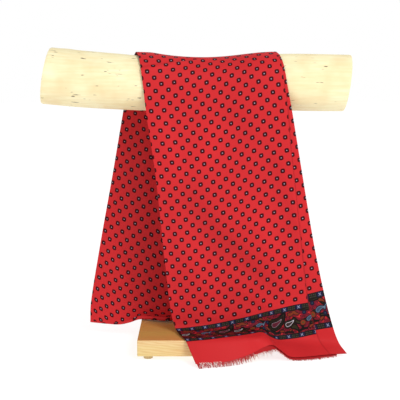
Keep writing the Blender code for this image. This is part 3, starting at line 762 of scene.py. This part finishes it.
# %% Lay the creases on the outer run
def creases(rows, share, distance):
    """Sum of hills: height x exp(-(apart/width)^2) x exp(-(along/half length)^4), with apart
    and along measured square to and along each crease's run."""
    height = np.zeros_like(distance)
    for middle, down, run, long, wide, tall in rows:
        right, below = (share - middle) * WIDTH, distance - down
        angle = math.radians(run)
        along = below * math.cos(angle) + right * math.sin(angle)
        apart = right * math.cos(angle) - below * math.sin(angle)
        height += tall * bell(apart, wide) * np.exp(-(along / (long / 2)) ** 4)
    return height


def keep_clear(distance, low, high):
    return ease(low, low + FADE, distance) * (1 - ease(high - FADE, high, distance))


def lip_on_log(share, turn, x):
    """The lip and the valley behind it, along a line that climbs from the left edge, and
    the slack cloth behind them."""
    line = LIP_START + LIP_SLOPE * share
    lip = LIP_HEIGHT * bell(turn - line + LIP_BEFORE, LIP_SPREAD)
    valley = VALLEY_DEPTH * bell(turn - line - VALLEY_BEHIND, VALLEY_SPREAD)
    slack = SLACK_HEIGHT * bell(x - SLACK_X, SLACK_SPREAD_X) * bell(turn - 90, SLACK_SPREAD_TURN)
    return (1 - ease(*LIP_FADE, share)) * (lip - valley) + slack


on_log = slice(FRONT_ROWS, TOP_END - 1)
from_seam = (outer_share - seam) * WIDTH
groove = -GROOVE_DEPTH * bell(from_seam, GROOVE_HALF) * (distance > GROOVE_FROM)
height = (creases(FRONT_CREASES, outer_share, distance) * ease(*FRONT_BEGINS, distance)
          + creases(TOP_CREASES, outer_share, distance)
          + creases(BACK_CREASES, outer_share, distance) * keep_clear(-distance, *BACK_CLEAR))
height[:, on_log] += lip_on_log(outer_share[:, on_log], turns[1:-1], outer[:, on_log, 0])
outer = outer + grid_normals(outer) * (height + groove)[..., None]
normals = grid_normals(outer)
print("laid on: from", height.min().round(1), "to", height.max().round(1), "mm")

# %% [markdown]
# The border is a band of paisleys between two narrow bars, as on many printed scarves. A
# picture of it would be an image texture, and nodes alone would take hundreds. The bars
# repeat simply, so they are nodes. Each family of ornaments is a field on the points: how
# far inside its shapes a point lies, in millimetres. All shapes are discs swept along
# short curves: a paisley is a disc that shrinks while its middle runs up a hooked line.
# The material draws outlines and fillings as bands of those fields.

# %% Shapes of the border
CROSS_STEP, CROSS_START = 25.7, -6.9       # spacing and place of the crosses in the bars
REPEAT = 4 * CROSS_STEP          # the ornaments come again after four crosses
ORNAMENT_START = 58.8
DISCS = 18                       # discs along a shape, enough to leave no dents
BULBS = {                        # middle of the head, tip, sideways bow, radius at the head and the tip
    "leaf": (
        ((12, 29), (34.5, 11.5), -3.5, 11.2, 2.2), ((52, 23.5), (72, 29), -5.5, 2.8, 2.2),
        ((72, 29), (66, 41), -3.0, 2.4, 1.0), ((49, 36.5), (57, 44), 1.5, 4.6, 1.2),
        ((-8, 42), (8, 43.5), 3.0, 1.6, 1.0), ((8, 43.5), (26, 41), -2.5, 1.4, 0.9),
        ((82, 36), (97, 45), 3.0, 2.2, 0.9), ((64, 9), (88, 7), -2.5, 1.5, 2.4),
        ((88, 7), (94, 21), -3.5, 2.4, 1.3), ((33, 46), (47, 47), 1.0, 1.2, 0.8),
        ((-2, 34), (3, 15), -2.0, 1.3, 0.9), ((58, 47), (74, 44.5), 1.5, 1.1, 0.8)),
    "petal": (
        ((44, 14.5), (52, 11), -2.0, 2.6, 1.6), ((54, 12.5), (61, 16.5), -1.0, 2.4, 1.0),
        ((67.5, 33), (67.6, 33.1), 0.0, 4.7, 4.7), ((86, 13), (93, 16.5), 1.0, 2.3, 1.1),
        ((24, 42.5), (30, 43), 0.5, 1.8, 1.2), ((80, 42.5), (85, 40), 0.5, 2.1, 1.0),
        ((1, 14), (8, 17), -1.5, 1.9, 1.0), ((98, 33), (104, 38), -1.0, 2.0, 1.0),
        ((42, 43.5), (47, 42), 0.5, 1.2, 0.7)),
    "steel": (((78, 28.5), (89, 25), 1.5, 3.7, 1.6), ((91, 28), (98, 19.5), 1.0, 1.5, 0.7)),
    "first": (((12, 29), (34.5, 11.5), -3.5, 8.4, 1.2),),
    "second": (((39, 32), (53, 24), -1.5, 6.9, 2.4),),
}
FLOWERS, FLOWER_RADIUS = ((71.5, 15.5), (90, 34.5), (-1, 22)), 3.3
RIM_RADIUS, RIM_PETALS, RIM_PETAL_RADIUS = 4.6, 6, 1.9
SPRIGS = ((20, 47), (33, 12), (36, 41), (60, 26), (76, 20), (97, 12), (95, 28), (3, 39), (88, 46), (62, 42))
SPRIG_RADIUS = 2.4
print("border:", {key: len(rows) for key, rows in BULBS.items()}, "and", len(SPRIGS), "sprigs")

# %% [markdown]
# The fields are worked out only near the border; anywhere else on the front fall a point
# is simply far outside every shape.

# %% Fields of the border
FARTHEST = 9                     # fields are cut off this far inside or outside
MARGIN = 6                       # they are worked out this far beyond the border


def swept(across, down, middles, radii):
    """The largest of radius minus distance over all discs, repeated along the border."""
    middles = np.asarray(middles, float)
    apart = (across[..., None] - middles[:, 0] + REPEAT / 2) % REPEAT - REPEAT / 2
    return (radii - np.hypot(apart, down[..., None] - middles[:, 1])).max(axis=-1)


def bulb(across, down, head, tip, bow, fat, thin):
    """A teardrop: discs from head to tip, bowed sideways by 4t(1-t), shrink by (1-t)^0.75."""
    t = np.linspace(0, 1, DISCS)
    head, tip = np.array(head, float), np.array(tip, float)
    side = np.array([tip[1] - head[1], head[0] - tip[0]]) / np.hypot(*(tip - head))
    middles = mix(head, tip, t[:, None]) + side * bow * 4 * (t * (1 - t))[:, None]
    return swept(across, down, middles, mix(thin, fat, (1 - t) ** 0.75))


def ring_of(centre, radius, count):
    """Places evenly round a circle."""
    angle = np.linspace(0, 2 * math.pi, count, endpoint=False)
    return np.stack([centre[0] + radius * np.cos(angle), centre[1] + radius * np.sin(angle)], -1)


def border_fields(across, down):
    """Fields of each family of ornaments at each point of the cloth, in millimetres."""
    a, b = across - ORNAMENT_START, down - (BORDER_TOP - FIRST_ROW)
    inside = (b > -MARGIN) & (b < BORDER_HEIGHT + MARGIN)
    a, b = a[inside], b[inside]
    rims = np.concatenate([ring_of(place, RIM_RADIUS, RIM_PETALS) for place in FLOWERS])
    made = {key: np.max([bulb(a, b, *row) for row in rows], axis=0) for key, rows in BULBS.items()}
    made["flower"] = swept(a, b, FLOWERS, FLOWER_RADIUS)
    made["rim"] = np.maximum(swept(a, b, rims, RIM_PETAL_RADIUS), swept(a, b, SPRIGS, SPRIG_RADIUS))
    fields = {key: np.full(across.shape, -float(FARTHEST)) for key in made}
    for key, values in made.items():
        fields[key][inside] = np.clip(values, -FARTHEST, FARTHEST)
    return fields


fields = border_fields(outer_across[:, :FRONT_ROWS], outer_down[:, :FRONT_ROWS])
print("fields:", sorted(fields))

# %% [markdown]
# The dots are small rounded squares with a pale heart, in two lattices, one half a step
# off the other. Their edges are a little uneven, as printed ink is. Printing them with
# nodes keeps them sharp at any distance, where a painted picture would blur.

# %% Dots
DOT_INK, DOT_HEART = "#3C040A", "#B4ADC0"
DOT_HALF, HEART_HALF = 4.2, 0.75
INK_WOBBLE, INK_GRAIN = 0.8, 1.111         # unevenness of the edges, and its size


def around(edge, blur=0.3):
    """Two limits for a soft step up at an edge, or with a negative blur for a step down."""
    return edge - blur, edge + blur


def dots(add, paint, uv, across, down):
    """How far a point lies from the nearest dot is the cube root of x^3 + y^3, with x and y
    the distances from the nearest lines of a lattice."""
    near = []
    for shift in (0, 0.5):
        cubes = [add("Math POWER", add("Math PINGPONG", add("Math ADD", value, shift * pitch), pitch / 2), 3)
                 for value, pitch in ((across, DOT_ACROSS), (down, DOT_DOWN))]
        near.append(add("Math POWER", add("Math ADD", *cubes), 1 / 3))
    wobble = add("TexNoise", uv, Scale=per(INK_GRAIN), Detail=1.0)
    near = add("Math MULTIPLY_ADD", wobble, INK_WOBBLE, add("Math MINIMUM", *near))
    above = add("Math LESS_THAN", down, BORDER_TOP - FIRST_ROW - 3)
    for half, blur, ink in ((DOT_HALF, 0.25, DOT_INK), (HEART_HALF, 0.35, DOT_HEART)):
        inked = add("MapRange", near, *around(half + INK_WOBBLE / 2, -blur))
        paint = add("MixRGB", add("Math MULTIPLY", inked, above), paint, ink)
    return paint


# %% [markdown]
# The ground of the border is filled with small curled lines over crimson patches: contour
# lines of a noise do that. Then come the ornaments, a band of a field for each outline or
# filling. Later inks cover earlier ones, as on the printing table.

# %% Linework and ornaments
PRINT_STEPS = (
    # field, from and to how far inside its shapes in mm, colour; later steps cover earlier
    ("rim", 0.0, 99, "#6A1024"), ("leaf", -1.2, 99, "#140A0B"), ("leaf", 1.1, 99, "#2E2A18"),
    ("petal", -1.0, 99, "#180D0F"), ("petal", 0.1, 99, "#783018"), ("petal", 3.0, 99, "#46461F"),
    ("steel", -1.1, 99, "#10101F"), ("steel", 0.1, 99, "#35475C"), ("steel", 0.5, 1.0, "#74869A"),
    ("flower", -0.6, 99, "#14142C"), ("flower", 1.7, 99, "#28394A"),
    ("first", -0.6, 99, "#140B0B"), ("first", 1.2, 1.7, "#3A3520"), ("first", 3.7, 4.3, "#A08E96"),
    ("first", 4.3, 99, "#5A1F2E"), ("second", -0.8, 99, "#140B0B"), ("second", 1.0, 1.5, "#3A3520"),
    ("second", 2.9, 3.7, "#D6D2DA"), ("second", 3.7, 99, "#352826"),
)
LINEWORK, LINES_A_HILL = 6.5, 8  # size of the curls, and contour lines from low to high
BAR_HALF, BAR_LINE = 4.7, 1.0    # half a bar's height, and the dark lines that edge it


def linework(add, paint, uv, from_middle):
    between = add("MapRange", from_middle, *around(BORDER_HEIGHT / 2 - 3, -0.3))
    hills = add("TexNoise", uv, Scale=per(LINEWORK), Detail=1.0)
    level = add("Math PINGPONG", add("Math MULTIPLY", hills, LINES_A_HILL), 0.5)
    for value, limits, share, ink in ((hills, around(0.43, 0.05), 0.85, "#74152A"),
                                      (level, around(0.26, 0.06), 0.9, "#1A0D10")):
        mask = add("MapRange", value, *limits, 0, share)
        paint = add("MixRGB", add("Math MULTIPLY", between, mask), paint, ink)
    return paint


def ornaments(add, paint):
    for key, low, high, ink in PRINT_STEPS:
        field = add("Attribute", attribute_name=key, out="Fac")
        mask = add("MapRange", field, *around(low))
        if high < FARTHEST:
            mask = add("Math SUBTRACT", mask, add("MapRange", field, *around(high)))
        paint = add("MixRGB", mask, paint, ink)
    return paint


# %% [markdown]
# The two bars repeat one figure: between dark edges lies a navy link with a pale cross,
# then a dark field with small specks. Distances from the bar's middle line and from the
# nearest cross are enough to draw all of it.

# %% Bars
LINK_HALF, FIELD_FROM = 5.4, 6.6
SPECK_STEP, SPECK_ROW, SPECK_RADIUS = 3.1, 1.6, 0.75
CROSS_ARM, CROSS_HALF = 0.8, 2.1


def bars(add, paint, across, from_middle):
    """High is the height over a bar's middle, and far the distance from the nearest cross."""
    high = add("Math ABSOLUTE", add("Math SUBTRACT", from_middle, BORDER_HEIGHT / 2 - BAR_HALF))
    far = add("Math PINGPONG", add("Math SUBTRACT", across, CROSS_START), CROSS_STEP / 2)
    within = add("MapRange", high, *around(BAR_HALF - BAR_LINE, -0.3))
    link = add("MapRange", far, *around(LINK_HALF, -0.3))
    field = add("MapRange", far, *around(FIELD_FROM))
    along = add("Math PINGPONG", add("Math ADD", far, SPECK_STEP / 2), SPECK_STEP / 2)
    to_speck = add("CombineXYZ", along, add("Math SUBTRACT", high, SPECK_ROW))
    speck = add("MapRange", add("VectorMath LENGTH", to_speck, out="Value"),
                *around(SPECK_RADIUS, -0.3), 0, 0.6)
    arm = add("Math ABSOLUTE", add("Math SUBTRACT", far, high))
    cross = add("Math MULTIPLY", add("MapRange", arm, *around(CROSS_ARM, -0.3), 0, 0.65),
                add("MapRange", far, *around(CROSS_HALF, -0.3)))
    paint = add("MixRGB", add("MapRange", high, *around(BAR_HALF, -0.3)), paint, "#130D10")
    for mask, ink in ((link, "#1A1A38"), (field, "#201B12"),
                      (add("Math MULTIPLY", speck, field), "#5A5850"), (cross, "#A3A9C4")):
        paint = add("MixRGB", add("Math MULTIPLY", mask, within), paint, ink)
    return paint


# %% [markdown]
# Silk twill is woven from fine bright threads, about 45 to the centimetre, so that each
# crosses over two and steps sideways. That gives faint diagonal ribs and a soft sheen that
# brightens where the cloth turns away. Acid dyes give the deep red, and the print lies
# over it. The ribs are 0.35 mm apart; they are drawn 1.1 mm apart to show.

# %% Printed silk
# the third colour is a painted shade for the seam's groove
SILK_RED, SILK_DEEP, SEAM_SHADE_RED = "#C9292D", "#BD2428", "#7E0F14"
SILK_CLOUD = 111                 # slow changes of the dye
RIB = 1.1                        # drawn spacing of the twill's ribs
THREAD = 1.4286                  # drawn thickness of single threads
PAINTED_SHADING_STRENGTH = 0.1                # painted shading: crease troughs are darkened by up to this share, ridges lightened


# The last argument, when below 1, makes a shaded copy of the silk: its colour is darkened by a painted
# shade.
def printed_silk(add, has_border=False, tone=1.0):
    uv = add("UVMap", uv_map="print")
    across = add("SeparateXYZ", add("VectorMath SCALE", uv, Scale=1 / MM))
    down = across.node.outputs["Y"]
    clouds = add("TexNoise", add("TexCoord", out="Object"), Scale=per(SILK_CLOUD), Detail=2.0)
    paint = dots(add, add("MixRGB", clouds, SILK_DEEP, SILK_RED), uv, across, down)
    if has_border:
        border_middle = BORDER_TOP - FIRST_ROW + BORDER_HEIGHT / 2
        from_middle = add("Math ABSOLUTE", add("Math SUBTRACT", down, border_middle))
        paint = ornaments(add, linework(add, paint, uv, from_middle))
        paint = bars(add, paint, across, from_middle)
        # painted shade along the seam's groove
        seam_groove_shade = add("Attribute", attribute_name="seam_groove_shade", out="Fac")
        paint = add("MixRGB", seam_groove_shade, paint, SEAM_SHADE_RED)
    weave = add("TexWave", uv, bands_direction="DIAGONAL", Scale=wave_scale(RIB), Distortion=0.6,
                Detail=1.0, Detail_Scale=3.0, out="Fac")
    threads = add("TexNoise", uv, Scale=per(THREAD), Detail=2.0)
    woven = add("Math MULTIPLY_ADD", threads, 0.5, weave)
    # painted shading of the creases: darker in troughs, lighter on ridges
    painted_crease_shading = add("Attribute", attribute_name="painted_crease_shading", out="Fac")
    shade = add("Math MULTIPLY", add("Math MULTIPLY_ADD", painted_crease_shading, -PAINTED_SHADING_STRENGTH, 1.0),
                add("MapRange", woven, 0, 1.5, 0.985 * tone, 1.01 * tone))
    return dict(Base_Color=add("VectorMath SCALE", paint, Scale=shade),
                Roughness=add("MapRange", woven, 0, 1.5, 0.62, 0.5), IOR=1.5,
                Specular_IOR_Level=0.1, Sheen_Weight=0.03, Sheen_Roughness=0.4,
                Sheen_Tint="#FF8A8A", Normal=add("Bump", Height=woven, Strength=0.08, Distance=0.2 * MM))


silk_with_border = make_material("printed_silk_twill", printed_silk, has_border=True)
silk = make_material("dotted_silk_twill", printed_silk)

# %% [markdown]
# Now the outer run is cut into its three stretches, each a thin wall that stands for its
# solid. Their edges share the same row of points and normals, so no line shows between.

# %% Shells of the outer run
PAINTED_SHADING_FULL_HEIGHT = 3                  # a trough this deep, or a ridge this high, gets the full painted shading
# half width and strength of the painted shade along the seam's groove
STITCH_HALF, STITCH_SHADE = 0.8, 0.45


def outer_stretch(name, node, first, last, finish, fields):
    cut = slice(first, last)
    return make_shell(name, node, outer[:, cut], normals[:, cut], CLOTH_SHOWN, finish,
                      (outer_across[:, cut], outer_down[:, cut]),
                      {key: values[:, cut] for key, values in fields.items()})


# painted shading: positive in crease troughs, negative on ridges
painted_crease_shading = {"painted_crease_shading": np.clip(-height / PAINTED_SHADING_FULL_HEIGHT, -1, 1)}
# painted shade along the seam's groove
fields["seam_groove_shade"] = bell(from_seam[:, :FRONT_ROWS], STITCH_HALF) * STITCH_SHADE
front_piece = outer_stretch("front_fall", "scarf_front_fall", 0, FRONT_ROWS, silk_with_border,
                            fields | painted_crease_shading)
top_piece = outer_stretch("turn_over_log", "scarf_over_log", FRONT_ROWS - 1, TOP_END, silk, painted_crease_shading)
back_piece = outer_stretch("back_fall", "scarf_back_fall", TOP_END - 1, None, silk, painted_crease_shading)

# %% [markdown]
# The return run shows at the left of the front fall, in its shade. Its print was measured
# on the photograph too: there the rows fall to the right, because the tube has turned over.
# What lies hidden behind the front fall keeps the same spacing, and its creases stay low
# enough to lie clear of the back fall.

# %% The return run
RETURN_ACROSS_TERMS = (
    # power of the share across, power of the distance in lengths of 400 mm, mm
    (0, 0, -23.0), (0, 1, 4.7), (0, 2, 26.0), (0, 3, -21.9), (1, 0, 312.6), (1, 1, -46.7),
    (1, 2, 36.0), (2, 0, -23.4), (2, 1, -30.3),
)
RETURN_DOWN_TERMS = (
    (0, 0, -423.0), (0, 1, 453.0), (0, 2, -82.5), (0, 3, 40.8), (1, 0, 194.3), (1, 1, -250.9),
    (1, 2, 97.5), (2, 0, -147.6), (2, 1, 344.7),
)
RETURN_SEEN, RETURN_SEEN_SHARE = 430, 0.5
HIGHEST_SEEN, HIDDEN_LOW, HIDDEN_HIGH = 1.6, -0.6, 0.4     # limits of its creases

share = np.linspace(0, 1, RETURN_COLUMNS)
end_turn = smooth_table(INNER_END_ROWS, share)[0][:, None]
turns_up = mix(180.0, end_turn, np.linspace(0, 1, INNER_TURNS)[1:])
inner = np.concatenate([with_x(return_paths(share), BACK_EDGE_ROWS, share)[0],
                        over_log(share, INNER_TURN_ROWS, INNER_LIFT, turns_up)], axis=1)
above_fold = run_lengths(inner)
inner_share = np.broadcast_to(share[:, None], above_fold.shape)
low = creases(RETURN_CREASES, inner_share, above_fold) * keep_clear(above_fold, *RETURN_CLEAR)
low = np.where(inner_share < RETURN_SEEN_SHARE, np.minimum(low, HIGHEST_SEEN),
               np.clip(low, HIDDEN_LOW, HIDDEN_HIGH))
inner = inner + grid_normals(inner) * low[..., None]
seen, seen_share = np.clip(above_fold, 0, RETURN_SEEN), np.minimum(inner_share, RETURN_SEEN_SHARE)
printed = (sum_of_terms(RETURN_ACROSS_TERMS, seen_share, seen) + (inner_share - seen_share) * WIDTH,
           sum_of_terms(RETURN_DOWN_TERMS, seen_share, seen) + above_fold - seen)
return_piece = make_shell("return_run", "scarf_return", inner, grid_normals(inner), CLOTH_SHOWN, silk,
                          printed)

# %% [markdown]
# Below the front hem the tube's under layer shows as a darker band: it faces the floor and
# lies in shade, and that shade is painted into its colour. It could be a second full sheet,
# but all of it except this band is hidden, so it is a narrow sheet that starts a little way
# beneath the front layer and reaches past its hem.

# %% The under layer at the hem
UNDER_ROWS = (
    # share across, reach past the hem
    (0.33, 1.0), (0.40, 7.0), (0.47, 10.5), (0.53, 9.0), (0.58, 5.5), (0.66, 5.0), (0.80, 5.0),
    (0.90, 3.0), (0.94, 0.5),
)
UNDER_DROP = 1.85                # middle of the under layer behind the front layer's middle
UNDER_BACK, UNDER_REACH_STEPS = 14, 8      # rows beneath the front layer, and past its hem
# the under layer's colour is scaled by 0.7, a painted shade
UNDER_THICK, UNDER_PAINTED_SHADE = 0.7, 0.7
UNDER_PRINT = 90.0               # it is cut from the plain cloth below the border


def hem_line(share_at):
    """The hem's points, the way on past it and the way out of the front, at any share."""
    onward = outer[:, 0] - outer[:, 1]
    onward /= np.linalg.norm(onward, axis=1, keepdims=True)
    return [np.stack([np.interp(share_at, outer_share[:, 0], values[:, axis]) for axis in range(3)], -1)
            for values in (outer[:, 0], onward, normals[:, 0])]


columns = np.where((outer_share[:, 0] > UNDER_ROWS[0][0]) & (outer_share[:, 0] < UNDER_ROWS[-1][0]))[0]
under_share = outer_share[columns, 0]
onward = hem_line(under_share)[1][:, None]
reach = smooth_table(UNDER_ROWS, under_share)[0][:, None, None]
beneath = (outer - normals * UNDER_DROP)[columns, :UNDER_BACK]
past = beneath[:, :1] + onward * reach * shares(UNDER_REACH_STEPS)[:, :0:-1]
under = np.concatenate([past, beneath], axis=1)
printed = np.broadcast_arrays(under_share[:, None] * WIDTH, BORDER_TOP + UNDER_PRINT, under[..., 0])[:2]
# a shaded copy of the printed silk, darkened by a painted shade
silk_inside_painted_shade = make_material("silk_inside_painted_shade", printed_silk, tone=UNDER_PAINTED_SHADE)
under_piece = make_shell("under_hem", "scarf_under_hem", under, grid_normals(under), UNDER_THICK,
                         silk_inside_painted_shade, printed)

# %% [markdown]
# Both hems end in a short fringe: the weft is drawn out and the warp threads are left. They
# are thin, pale where they are bare of dye, and curl every way in small tufts. Hair
# particles would not stay whole in an export, so each strand is a slim three-sided tube
# along its own bent line, all in one mesh. The chances are seeded, so each run is the same.

# %% Lines of the fringe
STRAND_STEPS = 8
TUFT_SHIFT = 0.3                 # a tuft may stand this share of its step off its place
TUFT_LONG, STRAND_LONG = (0.6, 1.15), (0.85, 1.1)     # shares of the row's length
TUFT_BEND, STRAND_BEND = 0.8, 0.4          # spread of the bends, for a tuft and in it
SWAY_RATE, DROOP, PULL = 3.5, 0.4, 0.6
ROOT_BACK, ROOT_INSET, THIN_END = 2.5, 0.6, 0.5
FLOOR_CLEAR, FLOOR_SPREAD = 0.5, 0.8
PALE_SPREAD = (-0.2, 0.1)
FRONT_TUFTS = (
    # first and last share, tufts, strands in each, length, half width, curl, lift, paleness
    (0.006, 0.375, 90, 4, 8.5, 0.50, 0.12, 0.0, 0.05),
    (0.020, 0.160, 13, 3, 9.5, 0.30, 0.55, 0.7, 0.95),
    (0.160, 0.375, 20, 3, 8.5, 0.28, 0.40, -0.4, 0.85),
)
UNDER_TUFTS = (
    (0.340, 0.930, 80, 4, 3.0, 0.45, 0.15, 0.0, 0.05),
    (0.345, 0.500, 15, 4, 8.0, 0.32, 0.35, 0.3, 0.80),
    (0.500, 0.570, 6, 4, 5.0, 0.32, 0.40, 0.3, 0.90),
    (0.570, 0.930, 24, 3, 3.5, 0.32, 0.40, 0.2, 0.15),
)


def silk_threads(add):
    """Loose silk threads: most keep the dye, and some curled ones are nearly bare of it."""
    pale = add("Attribute", attribute_name="pale", out="Fac")
    return dict(Base_Color=add("MixRGB", pale, "#B0151A", "#FAE6DF"), Roughness=0.45, Sheen_Weight=0.1)


def strand_lines(row, dice, beneath):
    """Middle lines, half widths and paleness of the strands of one row of tufts. Each line is
    root + onward * reach * t, a droop that grows as t^2, a curl that its tuft shares, and a
    pull towards the tuft's middle."""
    first, last, tufts, each, length, half, curl, lift, paleness = row
    count, step = tufts * each, (last - first) / tufts
    of_tuft = np.repeat(np.arange(tufts), each)
    apart = dice.uniform(-0.5, 0.5, count) * step
    middle = first + step * (np.arange(tufts) + 0.5 + dice.uniform(-TUFT_SHIFT, TUFT_SHIFT, tufts))
    share_at = middle[of_tuft] + apart
    root, onward, out = hem_line(share_at)
    if beneath:
        reach = smooth_table(UNDER_ROWS, share_at)[0]
        root = root - out * UNDER_DROP + onward * np.maximum(reach - ROOT_INSET, 0)[:, None]
    root = root + out * lift - onward * lift * ROOT_BACK
    across = np.cross(onward, out)[:, None]
    onward, out = onward[:, None], out[:, None]
    t = shares(STRAND_STEPS)
    long = dice.uniform(*TUFT_LONG, tufts)[of_tuft] * dice.uniform(*STRAND_LONG, count)
    long = length * long[:, None, None]
    bend = dice.normal(0, TUFT_BEND, (tufts, 2))[of_tuft] + dice.normal(0, STRAND_BEND, (count, 2))
    swing = dice.uniform(0, 2 * math.pi, tufts)[of_tuft][:, None, None]
    sway = np.sin(swing + SWAY_RATE * t) - np.sin(swing)
    pull = apart[:, None, None] * WIDTH * PULL
    line = (root[:, None] + onward * long * t
            + across * (long * curl * (bend[:, :1, None] * 0.7 * t + 0.5 * sway * t) + pull * t)
            + out * long * curl * (bend[:, 1:, None] * 0.4 * t**2 + 0.15 * t)
            - np.array([0, 0, 1.0]) * long * DROOP * t**2)
    line[..., 2] = np.maximum(line[..., 2], FLOOR_CLEAR + dice.uniform(0, FLOOR_SPREAD, (count, 1)))
    pale = np.clip(paleness + dice.uniform(*PALE_SPREAD, tufts)[of_tuft], 0, 1)
    return line, np.broadcast_to(half * mix(1, THIN_END, t), (count, STRAND_STEPS + 1, 1)), pale


# %% [markdown]
# A strand's tube needs two directions square to its line. One is the line crossed with a
# fixed slanting direction, the other is square to both, and three points are set round the
# line with them at every step.

# %% Fringe
SLANT = (0.31, 0.17, 0.93)


def unit(vectors):
    return vectors / (np.linalg.norm(vectors, axis=2, keepdims=True) + 1e-9)


def fringe(name, node, rows, beneath, seed, finish):
    """All strands of one hem in one mesh: a triangle of points is carried along each line."""
    dice = np.random.default_rng(seed)
    line, thick, pale = map(np.concatenate, zip(*(strand_lines(row, dice, beneath) for row in rows)))
    way = unit(np.gradient(line, axis=1))
    side = unit(np.cross(way, SLANT))
    up = np.cross(side, way)
    angles = np.radians([90, 210, 330])[:, None]
    ring = line[:, :, None] + thick[..., None] * (side[:, :, None] * np.cos(angles)
                                                  + up[:, :, None] * np.sin(angles))
    base = (np.arange(len(line)) * (STRAND_STEPS + 1) * 3)[:, None, None]
    step = (np.arange(STRAND_STEPS) * 3)[None, :, None]
    corner = np.arange(3)
    a, b = base + step + corner, base + step + (corner + 1) % 3
    quads = np.stack([a, b, b + 3, a + 3], -1).reshape(-1, 4)
    ends = np.concatenate([base[:, 0] + [2, 1, 0], base[:, 0] + STRAND_STEPS * 3 + [0, 1, 2]])
    made = make_piece(name, node, ring.reshape(-1, 3), quads.tolist() + ends.tolist(), "silk", finish)
    store(made, "pale", np.repeat(pale, (STRAND_STEPS + 1) * 3))
    return made


threads = make_material("silk_threads", silk_threads)
fringe_front = fringe("fringe_front_hem", "fringe_front", FRONT_TUFTS, False, 3, threads)
fringe_under = fringe("fringe_under_hem", "fringe_under", UNDER_TUFTS, True, 5, threads)

# %% [markdown]

# %% [markdown]
# The photograph is a cut-out on white, so the stage is a pale floor in soft light from all
# round, with one large lamp in front, above and to the right. The floor glows a little, as
# a lit paper sweep does. The camera is a short telephoto, just above the log and looking
# down 9 degrees.

# %% Floor, light and camera
def pale_floor(add):
    return dict(Base_Color="#A8A8A8", Emission_Color="#FFFFFF", Emission_Strength=0.76, Roughness=0.9,
                Specular_IOR_Level=0.1)


def place_in_scene(name, data, place, turn=(0, 0, 0)):
    made = bpy.data.objects.new(name, data)
    made.location, made.rotation_euler = place, turn
    bpy.context.scene.collection.objects.link(made)
    return made


mesh = bpy.data.meshes.new("floor")
mesh.from_pydata([(-6, -4, 0), (6, -4, 0), (6, 9, 0), (-6, 9, 0)], [], [(0, 1, 2, 3)])
mesh.materials.append(make_material("pale_floor", pale_floor))
place_in_scene("floor", mesh, (0, 0, 0))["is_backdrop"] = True

LAMP_PLACE, LAMP_AIM = Vector((1.25, -2.2, 2.2)), Vector((0, 0, 0.3))
lamp = bpy.data.lights.new("key", "AREA")
lamp.shape, lamp.size, lamp.energy = "DISK", 1.2, 47
place_in_scene("key", lamp, LAMP_PLACE, (LAMP_AIM - LAMP_PLACE).to_track_quat("-Z", "Y").to_euler())

world = bpy.data.worlds.new("soft_white")
bpy.context.scene.world = world
world.use_nodes = True
add = partial(add_node, world.node_tree)
height_of_sky = add("SeparateXYZ", add("TexCoord", out="Generated"), out="Z")
background = world.node_tree.nodes["Background"].inputs
plug(background["Color"], "#FFFFFF")
plug(background["Strength"], add("MapRange", height_of_sky, 0.07, 0.35, 1.0, 0.65))
bpy.context.scene.view_settings.view_transform = "Standard"

CAMERA_PLACE, CAMERA_DOWN = (0.005, -1.765, 0.553), 8.79
camera_data = bpy.data.cameras.new("camera")
camera_data.lens, camera_data.sensor_width = 85, 36
bpy.context.scene.camera = place_in_scene("camera", camera_data, Vector(CAMERA_PLACE) + Vector(BOARD_MIDDLE),
                                          (math.radians(90 - CAMERA_DOWN), 0, 0))
print("camera at", [round(v, 3) for v in bpy.context.scene.camera.location])

# %% [markdown]
# Last, the box of everything shown, the floor left out, is printed in millimetres.

# %% Sizes, and the end
bpy.context.view_layer.update()
low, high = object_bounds()
print("dressed box in mm:", [round(1000 * v) for v in (*low, *high)])
